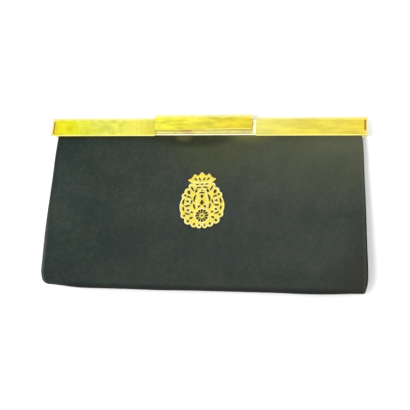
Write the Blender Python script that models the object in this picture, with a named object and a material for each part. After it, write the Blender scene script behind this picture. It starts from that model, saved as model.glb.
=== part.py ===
"""Evening clutch: a suede pouch on a straight gilt frame, lying on its back.

X runs across the clutch, +Y from the bottom fold up to the frame and +Z from the
back panel to the front panel. The origin lies under the middle of the clutch, on
the surface that the back panel rests on. Heights below are measured along +Y
from the outermost line of the bottom fold, and depths along +Z. Lengths are in
metres, and the crest's own plan is in millimetres.
"""

import math
from collections import namedtuple

import bmesh
import bpy
from mathutils import Vector

MM = 0.001

# The whole clutch
OVERALL_HEIGHT = 0.1379
BAR_LENGTH = 0.2500
GAP = 0.0003  # clearance between neighbouring pieces
SINK = 0.0001  # how far a joined shape keeps inside its neighbour's faces
CUT_PAST = 0.0010  # how far a cutter runs past what it cuts
SAME_PLACE = 1e-6
SHARP_ANGLE = math.radians(35)

# The suede cover: front panel, bottom fold and back panel
COVER_WALL = 0.0020
COVER_TOP = 0.1320
MOUTH_HEIGHT = 0.1214
MOUTH_HALF_WIDTH = 0.1213
FULLEST_HEIGHT = 0.0180
FULLEST_HALF_WIDTH = 0.1274
SIDE_CURVE = 1.15
FOLD_DEPTH = 0.0250
FOLD_RADIUS = FOLD_DEPTH / 2
FRONT_CORNER = 0.0100
BACK_CORNER = 0.0055
PANEL_CROWN = 0.0014
CROWN_POWER = 5
PANEL_SWELL = 0.12
BACK_LIFT_LENGTH = 0.0120
BACK_LIFT_SHARES = (0.35, 0.65, 1.0)
PANEL_STEPS, FOLD_STEPS, BACK_STEPS = 12, 12, 9
COLUMN_SHARES = (0.22, 0.44, 0.64, 0.80, 0.90, 0.96, 1.0)

# The gussets: a V of suede between the panels' side edges, deepest at the mouth
GUSSET_WALL = 0.0010
GUSSET_TOP = 0.1208
GUSSET_BOTTOM = 0.0038
GUSSET_INSET = 0.0010
GUSSET_TUCK = 0.0170
GUSSET_CURVE = 1.6
GUSSET_STEPS = (-1.0, -0.75, -0.5, -0.25, -0.1, 0.0, 0.1, 0.25, 0.5, 0.75, 1.0)
GUSSET_FOLD_STEPS, GUSSET_SIDE_STEPS = 5, 9
MOUTH_CROWN_SHARE = 0.8

# The frame's two channels, seen from the end
FRAME_DEPTH = 0.0120
FLANGE = 0.0012
MOUTH_DEPTH = FRAME_DEPTH - FLANGE - GAP
FRONT_INNER = FRAME_DEPTH / 2 + GAP / 2
BACK_INNER = FRAME_DEPTH / 2 - GAP / 2
RAIL_LOW = 0.1216
FRONT_RAIL_TOP = 0.1338
BACK_RAIL_TOP = 0.1342
RAIL_HALF_LENGTH = 0.1218
BEAD_HEIGHT = 0.0018
BEAD_PROUD = 0.0006
BEAD_CHAMFER = 0.0004

# The ears and rivets that join the frame's halves at each end
EAR = 0.0012
EAR_LOW = 0.1222
EAR_GAP = 0.0004
FRONT_EAR_INNER = RAIL_HALF_LENGTH + EAR_GAP
FRONT_EAR_BACK = 0.0030
BACK_EAR_INNER = FRONT_EAR_INNER + EAR + GAP
BACK_EAR_FRONT = 0.0096
RIVET_HEIGHT = 0.1278
RIVET_RADIUS = 0.0012
RIVET_HEAD_RADIUS = 0.0024
RIVET_HEAD = 0.0004

# The cover bars on the front rail
BAR_LOW = 0.1209
BAR_TOP = 0.1349
BAR_FACE = 0.0150
BAR_BACK = FRAME_DEPTH + BEAD_PROUD + GAP
BAR_SHEET = 0.0008
BAR_ROUND = 0.0005
LEFT_BAR_INNER = -0.0414
RIGHT_BAR_INNER = 0.0406
SLOT_FROM_END = 0.0018
SLOT_WIDTH = 0.0009
SLOT_LOW = 0.1234
SLOT_DEPTH = 0.0020

# The clasp plate, its hinge and the studs that it snaps over
CLASP_LEFT = -0.0400
CLASP_RIGHT = 0.0379
CLASP_MIDDLE = (CLASP_LEFT + CLASP_RIGHT) / 2
CLASP_LOW = 0.1249
CLASP_TOP = 0.1373
CLASP_FACE = 0.0170
CLASP_SHEET = 0.0010
CLASP_ROUND = 0.0007
CLASP_BACK = 0.0042
CLASP_ROLL = 0.0012
ROLL_SHARE = 0.55  # the part of the roll's radius that lies behind the face
HINGE_HEIGHT = 0.1362
HINGE_DEPTH = 0.0018
KNUCKLE_RADIUS = 0.0017
PIN_RADIUS = 0.0007
PIN_HALF_LENGTH = 0.0355
CLASP_KNUCKLE = 0.0270
LUG_LENGTH = 0.0075
LUG_WEB = (0.0006, 0.0030)
STRAP_FRONT = 0.0062
CATCH_LOW = 0.1272
CATCH_RISE = 0.0020
CATCH_PROUD = 0.0009
CATCH_HALF_LENGTH = 0.0060

# The crest: its centre on the clutch, its turn, its plate and its raised work
CREST_X = 0.0005
CREST_HEIGHT = 0.0700
CREST_TURN = math.radians(3.0)
CREST_PLATE = 0.0009
CREST_RELIEF = 0.0006
CREST_SEAT = 0.0004
RIDGE_WIDTH = 0.8
RIDGE_TOP_SHARE = 0.6
RIM_INSET = 0.65

# The crest's plan in millimetres from its centre: an oval with round lobes, each
# mirrored, and a five-pointed crown on top
CREST_OVAL_MIDDLE = -5.0
CREST_OVAL = (17.7, 14.9)
RIM_START, RIM_END = -90.0, 65.0
OUTLINE_STEPS, RIM_STEPS = 38, 34
Lobe = namedtuple("Lobe", "name u v radius")
LOBES = (
    Lobe("ear", 8.2, 10.4, 2.6),
    Lobe("shoulder", 11.0, 6.8, 3.0),
    Lobe("elbow", 13.7, 3.6, 2.4),
    Lobe("hip", 14.3, -11.7, 2.6),
    Lobe("thigh", 10.9, -16.0, 3.2),
    Lobe("foot", 6.2, -18.6, 2.9),
    Lobe("heel", 2.2, -19.8, 2.2),
)
CROWN = (
    (6.9, 12.9),
    (8.4, 14.4),
    (11.1, 16.0),
    (10.9, 16.7),
    (8.9, 16.9),
    (7.6, 17.2),
    (6.4, 19.4),
    (5.9, 20.9),
    (5.0, 20.7),
    (4.0, 19.2),
    (2.8, 18.5),
    (1.7, 19.4),
    (0.7, 21.4),
)
Ball = namedtuple("Ball", "u v radius")
CROWN_BALLS = (Ball(0.0, 20.3, 0.9), Ball(5.3, 19.7, 0.8), Ball(9.6, 16.1, 0.6))

# The piercings, as drop-shaped slots. A row off the middle is also mirrored.
Piercing = namedtuple("Piercing", "name u v length width turn bend taper")
PIERCINGS = (
    Piercing("lily_body", 0.0, -1.8, 4.0, 2.6, 90, 0, -0.45),
    Piercing("lily_arm", 2.3, -5.0, 2.5, 1.3, -35, -50, 0.3),
    Piercing("chevron", 0.0, 2.7, 2.8, 2.1, 90, 0, 0.6),
    Piercing("brow_slot", 0.0, 5.9, 4.4, 1.1, 0, -60, 0.0),
    Piercing("brow_dot", 0.0, 7.9, 1.2, 1.2, 0, 0, 0.0),
    Piercing("temple", 4.5, 7.4, 2.9, 1.6, -62, 30, 0.3),
    Piercing("neck_slot", 2.6, 10.1, 4.2, 1.0, -10, -30, 0.0),
    Piercing("ear_slot", 7.4, 9.0, 4.2, 1.15, 58, 0, 0.3),
    Piercing("long_arc", 5.9, 1.7, 6.4, 1.3, -74, -55, 0.0),
    Piercing("low_arc", 6.2, -5.0, 4.4, 1.25, -106, -45, -0.1),
    Piercing("shoulder_drop", 10.2, 6.3, 3.2, 2.0, 60, 0, 0.35),
    Piercing("elbow_drop", 13.0, 4.0, 2.4, 1.2, 35, 0, 0.2),
    Piercing("scroll_top", 10.4, 2.9, 4.2, 1.1, 12, -70, 0.0),
    Piercing("scroll_side", 14.8, -0.9, 4.6, 1.3, -76, -60, 0.0),
    Piercing("scroll_eye", 11.3, -0.7, 2.0, 1.5, 20, 0, 0.3),
    Piercing("scroll_tail", 8.2, -1.3, 3.4, 1.1, -70, 50, 0.0),
    Piercing("lower_top", 11.3, -4.4, 4.4, 1.2, -10, 60, 0.2),
    Piercing("lower_side", 14.8, -6.6, 3.4, 1.2, -102, -40, 0.0),
    Piercing("lower_eye", 10.9, -7.6, 2.0, 1.3, -20, 0, 0.3),
    Piercing("lower_base", 11.7, -10.6, 4.2, 1.1, -160, -50, 0.0),
    Piercing("hip_dot", 14.0, -12.0, 1.7, 1.4, 0, 0, 0.0),
    Piercing("fan_one", 7.9, -9.6, 2.0, 1.2, 30, 0, 0.4),
    Piercing("fan_two", 8.4, -13.9, 2.8, 1.4, -25, 0, 0.4),
    Piercing("thigh_dot", 11.0, -16.3, 2.0, 1.5, -50, 0, 0.2),
    Piercing("foot_dot", 6.2, -18.8, 1.9, 1.4, -70, 0, 0.2),
    Piercing("heel_dot", 2.1, -19.9, 1.4, 1.1, -80, 0, 0.2),
    Piercing("crown_inner", 1.75, 16.6, 2.6, 1.1, 62, 20, 0.0),
    Piercing("crown_outer", 5.0, 16.7, 2.6, 1.15, 48, 20, 0.0),
    Piercing("band_middle", 0.0, 12.6, 2.2, 0.8, 0, 20, 0.0),
    Piercing("band_side", 3.7, 12.6, 2.4, 0.8, 6, 20, 0.0),
    Piercing("rosette_eye", 0.0, -12.4, 1.5, 1.5, 0, 0, 0.0),
)
SHORT_PIERCING = 2.3  # a shorter one is drawn with six points, and the others with eight

# The rosette low on the crest, and the raised arcs, mirrored as the piercings are
ROSETTE = (0.0, -12.4)
PETALS = 12
PETAL_REACH, PETAL_LENGTH, PETAL_WIDTH, PETAL_TAPER = 3.55, 3.1, 1.45, 0.5
ROSETTE_RING, RING_STEPS = 5.75, 20
Arc = namedtuple("Arc", "name u v wide tall start end steps")
ARCS = (
    Arc("middle_oval", 0.0, -0.9, 4.2, 9.4, -36, 216, 16),
    Arc("band_low", 0.0, 11.25, 6.2, 0.5, 180, 0, 8),
    Arc("band_high", 0.0, 13.6, 6.2, 0.6, 180, 0, 8),
    Arc("upper_scroll", 11.2, -0.7, 2.0, 1.75, 55, 330, 9),
    Arc("lower_scroll", 11.2, -7.6, 2.0, 1.75, 30, 305, 9),
)

SUEDE_BLACK = (0.020, 0.024, 0.021)
BRUSHED_GILT = (0.83, 0.74, 0.16)
POLISHED_GILT = (0.93, 0.86, 0.42)
CREST_GILT = (0.86, 0.74, 0.20)


def lying(height):
    """Y of a height above the bottom fold."""
    return height - OVERALL_HEIGHT / 2


def finish(name, colour, metallic, roughness):
    material = bpy.data.materials.new(name)
    material.use_nodes = True
    shader = material.node_tree.nodes["Principled BSDF"]
    shader.inputs["Base Color"].default_value = (*colour, 1.0)
    shader.inputs["Metallic"].default_value = metallic
    shader.inputs["Roughness"].default_value = roughness
    return material


def add_object(name, bm, colour, metallic=1.0, roughness=0.3):
    """The bmesh as an object of that name, smooth except at its sharp edges."""
    bmesh.ops.recalc_face_normals(bm, faces=bm.faces)
    mesh = bpy.data.meshes.new(name)
    bm.to_mesh(mesh)
    bm.free()
    mesh.shade_smooth()
    mesh.set_sharp_from_angle(angle=SHARP_ANGLE)
    mesh.materials.append(finish(name + "_finish", colour, metallic, roughness))
    made = bpy.data.objects.new(name, mesh)
    bpy.context.scene.collection.objects.link(made)
    return made


def prism(profile, start, end):
    """A bmesh of one (height, depth) outline, carried along X from start to end."""
    bm = bmesh.new()
    corners = [bm.verts.new((start, lying(height), depth)) for height, depth in profile]
    face = bm.faces.new(corners)
    made = bmesh.ops.extrude_face_region(bm, geom=[face])["geom"]
    moved = [part for part in made if isinstance(part, bmesh.types.BMVert)]
    bmesh.ops.translate(bm, verts=moved, vec=(end - start, 0, 0))
    bmesh.ops.recalc_face_normals(bm, faces=bm.faces)
    return bm


def block(low, high, ends):
    """A prism of a rectangle between two (height, depth) corners, between two ends."""
    return prism([low, (high[0], low[1]), high, (low[0], high[1])], *sorted(ends))


def rod(height, depth, radius, ends, sides=16):
    """A round bar along X, between two ends."""
    start, end = sorted(ends)
    bm = bmesh.new()
    bmesh.ops.create_cone(
        bm, cap_ends=True, segments=sides, radius1=radius, radius2=radius, depth=end - start
    )
    along_x = Vector((0, 0, 1)).rotation_difference(Vector((1, 0, 0))).to_matrix()
    bmesh.ops.rotate(bm, verts=bm.verts, matrix=along_x)
    centre = Vector(((start + end) / 2, lying(height), depth))
    bmesh.ops.translate(bm, verts=bm.verts, vec=centre)
    return bm


def shape_with(target, bm, operation):
    """Joins the bmesh to the target or cuts it away, through a hidden helper on it."""
    helper = add_object(f"{target.name}_{operation.lower()}", bm, POLISHED_GILT)
    helper.hide_render = True
    helper.display_type = "WIRE"
    helper.parent = target
    modifier = target.modifiers.new(operation.title(), "BOOLEAN")
    modifier.operation = operation
    modifier.object = helper


def join(target, bm):
    shape_with(target, bm, "UNION")


def cut(target, bm):
    shape_with(target, bm, "DIFFERENCE")


def round_front_edges(bm, face_depth, width, segments):
    """Rounds the long edges of a prism's face, which lies at that depth."""
    edges = []
    for edge in bm.edges:
        first, second = (vert.co for vert in edge.verts)
        along_x = abs(first.y - second.y) < SAME_PLACE
        if along_x and min(first.z, second.z) > face_depth - SAME_PLACE:
            edges.append(edge)
    bmesh.ops.bevel(
        bm, geom=edges, offset=width, segments=segments, profile=0.5, affect="EDGES"
    )


def half_width(height, corner):
    """Half the width of the cover, with a round corner of that radius at the bottom."""
    climb = max(0.0, height - FULLEST_HEIGHT) / (MOUTH_HEIGHT - FULLEST_HEIGHT)
    width = FULLEST_HALF_WIDTH
    width -= (FULLEST_HALF_WIDTH - MOUTH_HALF_WIDTH) * min(1.0, climb) ** SIDE_CURVE
    if height < corner:
        width -= corner - math.sqrt(corner**2 - (corner - max(0.0, height)) ** 2)
    return width


def front_depth(height):
    """Z of the front panel's outer face at a height, from the mouth to the bottom fold."""
    run = min(1.0, max(0.0, (MOUTH_HEIGHT - height) / (MOUTH_HEIGHT - FOLD_RADIUS)))
    rise = (1 + PANEL_SWELL) * run - PANEL_SWELL * run**2
    return MOUTH_DEPTH + (FOLD_DEPTH - MOUTH_DEPTH) * rise


def back_depth(height):
    """Z of the back panel's outer face, which lifts off the surface to enter its channel."""
    lift = min(1.0, max(0.0, (height - MOUTH_HEIGHT + BACK_LIFT_LENGTH) / BACK_LIFT_LENGTH))
    return (FLANGE + GAP) * lift * lift * (3 - 2 * lift)


def cover_rows():
    """Rows round the cover's outer face: height, depth, share of the way to the back."""
    rows = [(COVER_TOP, front_depth(MOUTH_HEIGHT), 0.0)]
    for step in range(PANEL_STEPS):
        height = MOUTH_HEIGHT + (FOLD_RADIUS - MOUTH_HEIGHT) * step / PANEL_STEPS
        rows.append((height, front_depth(height), 0.0))
    for step in range(FOLD_STEPS + 1):
        angle = math.pi * step / FOLD_STEPS
        height = FOLD_RADIUS - FOLD_RADIUS * math.sin(angle)
        rows.append((height, FOLD_RADIUS + FOLD_RADIUS * math.cos(angle), step / FOLD_STEPS))
    lift_start = MOUTH_HEIGHT - BACK_LIFT_LENGTH
    for step in range(1, BACK_STEPS + 1):
        height = FOLD_RADIUS + (lift_start - FOLD_RADIUS) * step / BACK_STEPS
        rows.append((height, 0.0, 1.0))
    for share in BACK_LIFT_SHARES:
        height = lift_start + BACK_LIFT_LENGTH * share
        rows.append((height, back_depth(height), 1.0))
    rows.append((COVER_TOP, back_depth(MOUTH_HEIGHT), 1.0))
    return rows


def inward(rows, index):
    """The unit normal into the pouch at one row, as (height, depth)."""
    before, after = rows[max(0, index - 1)], rows[min(len(rows) - 1, index + 1)]
    along = Vector((after[0] - before[0], after[1] - before[1])).normalized()
    return Vector((-along.y, along.x))


def cover_point(rows, index, share, depth_in):
    """A point of the cover: its row, its share of the half width and its depth inside."""
    height, depth, back = rows[index]
    corner = FRONT_CORNER + (BACK_CORNER - FRONT_CORNER) * back
    if height < MOUTH_HEIGHT - SAME_PLACE:
        depth_in += PANEL_CROWN * abs(share) ** CROWN_POWER * (1 - back)
    place = Vector((height, depth)) + inward(rows, index) * depth_in
    x = share * half_width(min(height, MOUTH_HEIGHT), corner)
    return Vector((x, lying(place.x), place.y))


def build_body_cover():
    """One suede wall, down the front, round the bottom fold and up the back."""
    rows = cover_rows()
    shares = [-share for share in reversed(COLUMN_SHARES)] + [0.0] + list(COLUMN_SHARES)
    bm = bmesh.new()
    outer, inner = (
        [
            [bm.verts.new(cover_point(rows, index, share, depth_in)) for share in shares]
            for index in range(len(rows))
        ]
        for depth_in in (0.0, COVER_WALL)
    )
    for grid in (outer, inner):
        for upper, lower in zip(grid, grid[1:]):
            for column in range(len(shares) - 1):
                bm.faces.new(
                    (upper[column], upper[column + 1], lower[column + 1], lower[column])
                )
    rims = [(outer[row], inner[row]) for row in (0, -1)]
    for column in (0, -1):
        rims.append(([row[column] for row in outer], [row[column] for row in inner]))
    for outside, inside in rims:
        for index in range(len(outside) - 1):
            after = index + 1
            bm.faces.new((outside[index], outside[after], inside[after], inside[index]))
    add_object("body_cover", bm, SUEDE_BLACK, metallic=0.0, roughness=0.95)


def pouch_room(height):
    """(middle, half) of the depth inside the cover's walls near its side edge."""
    if height < FOLD_RADIUS:
        inner = FOLD_RADIUS - COVER_WALL
        half = inner * math.sqrt(max(0.0, 1 - ((FOLD_RADIUS - height) / inner) ** 2))
        return FOLD_RADIUS - PANEL_CROWN / 2, half - PANEL_CROWN / 2
    in_mouth = height > MOUTH_HEIGHT - FULLEST_HEIGHT
    crown = PANEL_CROWN * (MOUTH_CROWN_SHARE if in_mouth else 1.0)
    front = front_depth(height) - COVER_WALL - crown
    back = back_depth(height) + COVER_WALL
    return (front + back) / 2, (front - back) / 2


def gusset_edge(height):
    """X of the seam between gusset and cover."""
    outer = height
    if height < FOLD_RADIUS:
        outer = FOLD_RADIUS * (1 - (FOLD_RADIUS - height) / (FOLD_RADIUS - COVER_WALL))
    return half_width(outer, FRONT_CORNER) - GUSSET_INSET


def gusset_loop(height):
    """The gusset's closed outline at one height: valley side out, pouch side back."""
    middle, room = pouch_room(height)
    climb = (height - GUSSET_BOTTOM) / (GUSSET_TOP - GUSSET_BOTTOM)
    tuck = GUSSET_INSET + (GUSSET_TUCK - GUSSET_INSET) * climb
    spread = room - GAP - GUSSET_WALL
    edge = gusset_edge(height)
    valley = [
        Vector((edge - tuck * (1 - abs(step) ** GUSSET_CURVE), middle + spread * step))
        for step in GUSSET_STEPS
    ]
    pouch = []
    for index, point in enumerate(valley):
        before = valley[max(0, index - 1)]
        after = valley[min(len(valley) - 1, index + 1)]
        along = (after - before).normalized()
        pouch.append(point + Vector((-along.y, along.x)) * GUSSET_WALL)
    return valley + pouch[::-1]


def gusset_heights():
    """Heights of the gusset's rows: closer together round the bottom fold."""
    steep = math.asin((FOLD_RADIUS - GUSSET_BOTTOM) / FOLD_RADIUS)
    heights = []
    for step in range(GUSSET_FOLD_STEPS + 1):
        angle = steep * (1 - step / GUSSET_FOLD_STEPS)
        heights.append(FOLD_RADIUS * (1 - math.sin(angle)))
    rise = (GUSSET_TOP - FOLD_RADIUS) / GUSSET_SIDE_STEPS
    heights += [FOLD_RADIUS + rise * (step + 1) for step in range(GUSSET_SIDE_STEPS)]
    return heights


def build_gusset(name, side):
    """A suede side piece, tucked in between the panels like a V that closes downwards."""
    bm = bmesh.new()
    rings = [
        [bm.verts.new((side * x, lying(height), z)) for x, z in gusset_loop(height)]
        for height in gusset_heights()
    ]
    count = len(rings[0])
    for lower, upper in zip(rings, rings[1:]):
        for index in range(count):
            after = (index + 1) % count
            bm.faces.new((lower[index], lower[after], upper[after], upper[index]))
    for ring in (rings[0], rings[-1]):
        for index in range(count // 2 - 1):
            far = count - 1 - index
            bm.faces.new((ring[index], ring[index + 1], ring[far - 1], ring[far]))
    add_object(name, bm, SUEDE_BLACK, metallic=0.0, roughness=0.95)


def build_frame_front():
    """The front channel, with a bead along its lower edge, end ears and catch studs."""
    outer, inner, top = FRAME_DEPTH, FRONT_INNER, FRONT_RAIL_TOP
    bead = RAIL_LOW + BEAD_HEIGHT
    proud = outer + BEAD_PROUD
    profile = [
        (RAIL_LOW, outer - FLANGE),
        (RAIL_LOW, proud - BEAD_CHAMFER),
        (RAIL_LOW + BEAD_CHAMFER, proud),
        (bead - BEAD_CHAMFER, proud),
        (bead, outer),
        (top, outer),
        (top, inner),
        (RAIL_LOW, inner),
        (RAIL_LOW, inner + FLANGE),
        (top - FLANGE, inner + FLANGE),
        (top - FLANGE, outer - FLANGE),
    ]
    end = FRONT_EAR_INNER + EAR
    rail = add_object("frame_front", prism(profile, -end, end), POLISHED_GILT, roughness=0.15)
    for side in (-1, 1):
        ear_ends = (side * FRONT_EAR_INNER, side * end)
        join(rail, block((EAR_LOW, FRONT_EAR_BACK), (top, outer - SINK), ear_ends))
        notch_low = (RAIL_LOW - GAP, inner - GAP)
        notch_high = (top + GAP, inner + FLANGE + GAP)
        notch_ends = (side * (RAIL_HALF_LENGTH - CUT_PAST), side * FRONT_EAR_INNER)
        cut(rail, block(notch_low, notch_high, notch_ends))
        hole_ends = (side * (FRONT_EAR_INNER - EAR), side * (end + EAR))
        cut(rail, rod(RIVET_HEIGHT, FRAME_DEPTH / 2, RIVET_RADIUS + GAP, hole_ends))
    for side in (-1, 1):
        middle = side * (CLASP_RIGHT - CLASP_LEFT) / 4
        stud_low = (CATCH_LOW, outer - FLANGE / 2)
        stud_high = (CATCH_LOW + CATCH_RISE, outer + CATCH_PROUD)
        stud_ends = (middle - CATCH_HALF_LENGTH, middle + CATCH_HALF_LENGTH)
        join(rail, block(stud_low, stud_high, stud_ends))


def build_frame_back():
    """The back channel, with outer ears at its ends and two lugs for the clasp's hinge."""
    inner, top = BACK_INNER, BACK_RAIL_TOP
    profile = [
        (RAIL_LOW, 0.0),
        (top, 0.0),
        (top, inner),
        (RAIL_LOW, inner),
        (RAIL_LOW, inner - FLANGE),
        (top - FLANGE, inner - FLANGE),
        (top - FLANGE, FLANGE),
        (RAIL_LOW, FLANGE),
    ]
    half = RAIL_HALF_LENGTH
    rail = add_object("frame_back", prism(profile, -half, half), POLISHED_GILT, roughness=0.2)
    end = BACK_EAR_INNER + EAR
    for side in (-1, 1):
        bridge_ends = (side * (half - EAR), side * end)
        bridge_high = (top - SINK, FLANGE - SINK)
        join(rail, block((RAIL_LOW + SINK, SINK), bridge_high, bridge_ends))
        ear_ends = (side * BACK_EAR_INNER, side * (end + SINK))
        join(rail, block((EAR_LOW, 2 * SINK), (top - 2 * SINK, BACK_EAR_FRONT), ear_ends))
        hole_ends = (side * (BACK_EAR_INNER - GAP / 2), side * (end + EAR))
        cut(rail, rod(RIVET_HEIGHT, FRAME_DEPTH / 2, RIVET_RADIUS + GAP, hole_ends))
    for side in (-1, 1):
        near = CLASP_MIDDLE + side * (CLASP_KNUCKLE + GAP)
        first, last = sorted((near, near + side * LUG_LENGTH))
        join(rail, rod(HINGE_HEIGHT, HINGE_DEPTH, KNUCKLE_RADIUS, (first, last)))
        web_low, web_high = (top - FLANGE / 2, LUG_WEB[0]), (HINGE_HEIGHT, LUG_WEB[1])
        join(rail, block(web_low, web_high, (first + 2 * SINK, last - 2 * SINK)))
        hole_ends = (first - CUT_PAST, last + CUT_PAST)
        cut(rail, rod(HINGE_HEIGHT, HINGE_DEPTH, PIN_RADIUS + GAP, hole_ends))


def build_rivet(name, side):
    """A flush rivet: a shaft through both ears, with a low head outside."""
    inner = FRONT_EAR_INNER + GAP
    outer = BACK_EAR_INNER + EAR + GAP
    middle = FRAME_DEPTH / 2
    shaft_ends = (side * inner, side * (outer + RIVET_HEAD / 2))
    head_ends = (side * outer, side * (outer + RIVET_HEAD))
    rivet = add_object(name, rod(RIVET_HEIGHT, middle, RIVET_RADIUS, shaft_ends), POLISHED_GILT)
    join(rivet, rod(RIVET_HEIGHT, middle, RIVET_HEAD_RADIUS, head_ends, sides=20))


def build_bar(name, inner_end, outer_end):
    """A folded sheet cover: face, top and bottom returns, and a slot near its outer end."""
    start, end = sorted((inner_end, outer_end))
    profile = [
        (BAR_LOW, BAR_BACK),
        (BAR_LOW, BAR_FACE),
        (BAR_TOP, BAR_FACE),
        (BAR_TOP, FRONT_INNER),
        (FRONT_RAIL_TOP + GAP, FRONT_INNER),
        (FRONT_RAIL_TOP + GAP, BAR_BACK),
    ]
    bm = prism(profile, start, end)
    round_front_edges(bm, BAR_FACE, BAR_ROUND, segments=2)
    bar = add_object(name, bm, BRUSHED_GILT, roughness=0.35)
    hollow_low = (BAR_LOW + BAR_SHEET, BAR_BACK - CUT_PAST)
    hollow_high = (BAR_TOP - BAR_SHEET, BAR_FACE - BAR_SHEET)
    cut(bar, block(hollow_low, hollow_high, (start + BAR_SHEET, end - BAR_SHEET)))
    slot = outer_end - math.copysign(SLOT_FROM_END, outer_end)
    slot_high = (BAR_TOP - BAR_SHEET, BAR_FACE + CUT_PAST)
    slot_ends = (slot - SLOT_WIDTH / 2, slot + SLOT_WIDTH / 2)
    cut(bar, block((SLOT_LOW, BAR_FACE - SLOT_DEPTH), slot_high, slot_ends))


def build_clasp():
    """The clasp plate: a tray bent from sheet, its top carried back to a hinge knuckle."""
    shoulder = BACK_RAIL_TOP + GAP * 2
    profile = [
        (CLASP_LOW, BAR_BACK),
        (CLASP_LOW, CLASP_FACE),
        (CLASP_TOP, CLASP_FACE),
        (CLASP_TOP, CLASP_BACK),
        (shoulder, CLASP_BACK),
        (shoulder, BAR_BACK),
    ]
    bm = prism(profile, CLASP_LEFT, CLASP_RIGHT)
    round_front_edges(bm, CLASP_FACE, CLASP_ROUND, segments=3)
    plate = add_object("clasp_plate", bm, BRUSHED_GILT, roughness=0.3)
    low, high = CLASP_LOW + CLASP_SHEET, CLASP_TOP - CLASP_SHEET
    hollow = [
        (low, BAR_BACK - CUT_PAST),
        (low, CLASP_FACE - CLASP_SHEET),
        (high, CLASP_FACE - CLASP_SHEET),
        (high, CLASP_BACK - CUT_PAST),
        (shoulder - CUT_PAST, CLASP_BACK - CUT_PAST),
        (shoulder - CUT_PAST, BAR_BACK - CUT_PAST),
    ]
    cut(plate, prism(hollow, CLASP_LEFT + CLASP_SHEET, CLASP_RIGHT - CLASP_SHEET))
    roll_depth = CLASP_FACE - CLASP_ROLL * ROLL_SHARE
    roll_ends = (CLASP_LEFT + SINK, CLASP_RIGHT - SINK)
    join(plate, rod(CLASP_LOW + CLASP_ROLL, roll_depth, CLASP_ROLL, roll_ends))
    first, last = CLASP_MIDDLE - CLASP_KNUCKLE, CLASP_MIDDLE + CLASP_KNUCKLE
    join(plate, rod(HINGE_HEIGHT, HINGE_DEPTH, KNUCKLE_RADIUS, (first, last)))
    strap_low = (CLASP_TOP - CLASP_SHEET + SINK, HINGE_DEPTH)
    strap_high = (CLASP_TOP - SINK, STRAP_FRONT)
    join(plate, block(strap_low, strap_high, (first + 2 * SINK, last - 2 * SINK)))
    hole_ends = (first - CUT_PAST, last + CUT_PAST)
    cut(plate, rod(HINGE_HEIGHT, HINGE_DEPTH, PIN_RADIUS + GAP, hole_ends))


def build_clasp_pin():
    pin_ends = (CLASP_MIDDLE - PIN_HALF_LENGTH, CLASP_MIDDLE + PIN_HALF_LENGTH)
    pin = rod(HINGE_HEIGHT, HINGE_DEPTH, PIN_RADIUS, pin_ends, sides=12)
    add_object("clasp_pin", pin, POLISHED_GILT, roughness=0.2)


def lobe_reach(angle, u, v, radius):
    """How far a ray from the oval's middle runs before it leaves a lobe, or 0."""
    forward = u * math.cos(angle) + v * math.sin(angle)
    inside = forward**2 - u**2 - v**2 + radius**2
    return forward + math.sqrt(inside) if inside > 0 else 0.0


def crest_rim(inset, steps):
    """Points up one side of the lobed rim, from its lowest point to the crown."""
    points = []
    for step in range(steps + 1):
        angle = math.radians(RIM_START + (RIM_END - RIM_START) * step / steps)
        wide, tall = CREST_OVAL[0] - inset, CREST_OVAL[1] - inset
        reach = 1 / math.hypot(math.cos(angle) / wide, math.sin(angle) / tall)
        for lobe in LOBES:
            for u in (-lobe.u, lobe.u):
                ray = lobe_reach(angle, u, lobe.v - CREST_OVAL_MIDDLE, lobe.radius - inset)
                reach = max(reach, ray)
        points.append(
            (reach * math.cos(angle), CREST_OVAL_MIDDLE + reach * math.sin(angle))
        )
    return points


def mirrored(points):
    return [(-u, v) for u, v in reversed(points)]


def piercing_loop(slot):
    """The outline of one piercing, turned and bent by its angles in degrees."""
    count = 6 if slot.length < SHORT_PIERCING else 8
    turn, bend = math.radians(slot.turn), math.radians(slot.bend)
    points = []
    for step in range(count):
        angle = 2 * math.pi * (step + 0.5) / count
        along = math.cos(angle) / 2
        across = math.sin(angle) / 2 * slot.width * (1 + 2 * slot.taper * along)
        x, y = along * slot.length, across
        if bend:
            radius = slot.length / bend
            x = math.sin(along * bend) * (radius - across)
            y = radius - math.cos(along * bend) * (radius - across)
        points.append(
            (
                slot.u + x * math.cos(turn) - y * math.sin(turn),
                slot.v + x * math.sin(turn) + y * math.cos(turn),
            )
        )
    return points


def crest_loops():
    """The crest's outline and every piercing, as closed loops in its plane."""
    side = crest_rim(0.0, OUTLINE_STEPS) + list(CROWN)
    loops = [side + mirrored(side[1:])]
    for step in range(PETALS):
        turn = 90 + 360 * step / PETALS
        u = ROSETTE[0] + PETAL_REACH * math.cos(math.radians(turn))
        v = ROSETTE[1] + PETAL_REACH * math.sin(math.radians(turn))
        petal = Piercing("petal", u, v, PETAL_LENGTH, PETAL_WIDTH, turn, 0, PETAL_TAPER)
        loops.append(piercing_loop(petal))
    for slot in PIERCINGS:
        loop = piercing_loop(slot)
        loops.append(loop)
        if slot.u:
            loops.append(mirrored(loop))
    return loops


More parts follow.
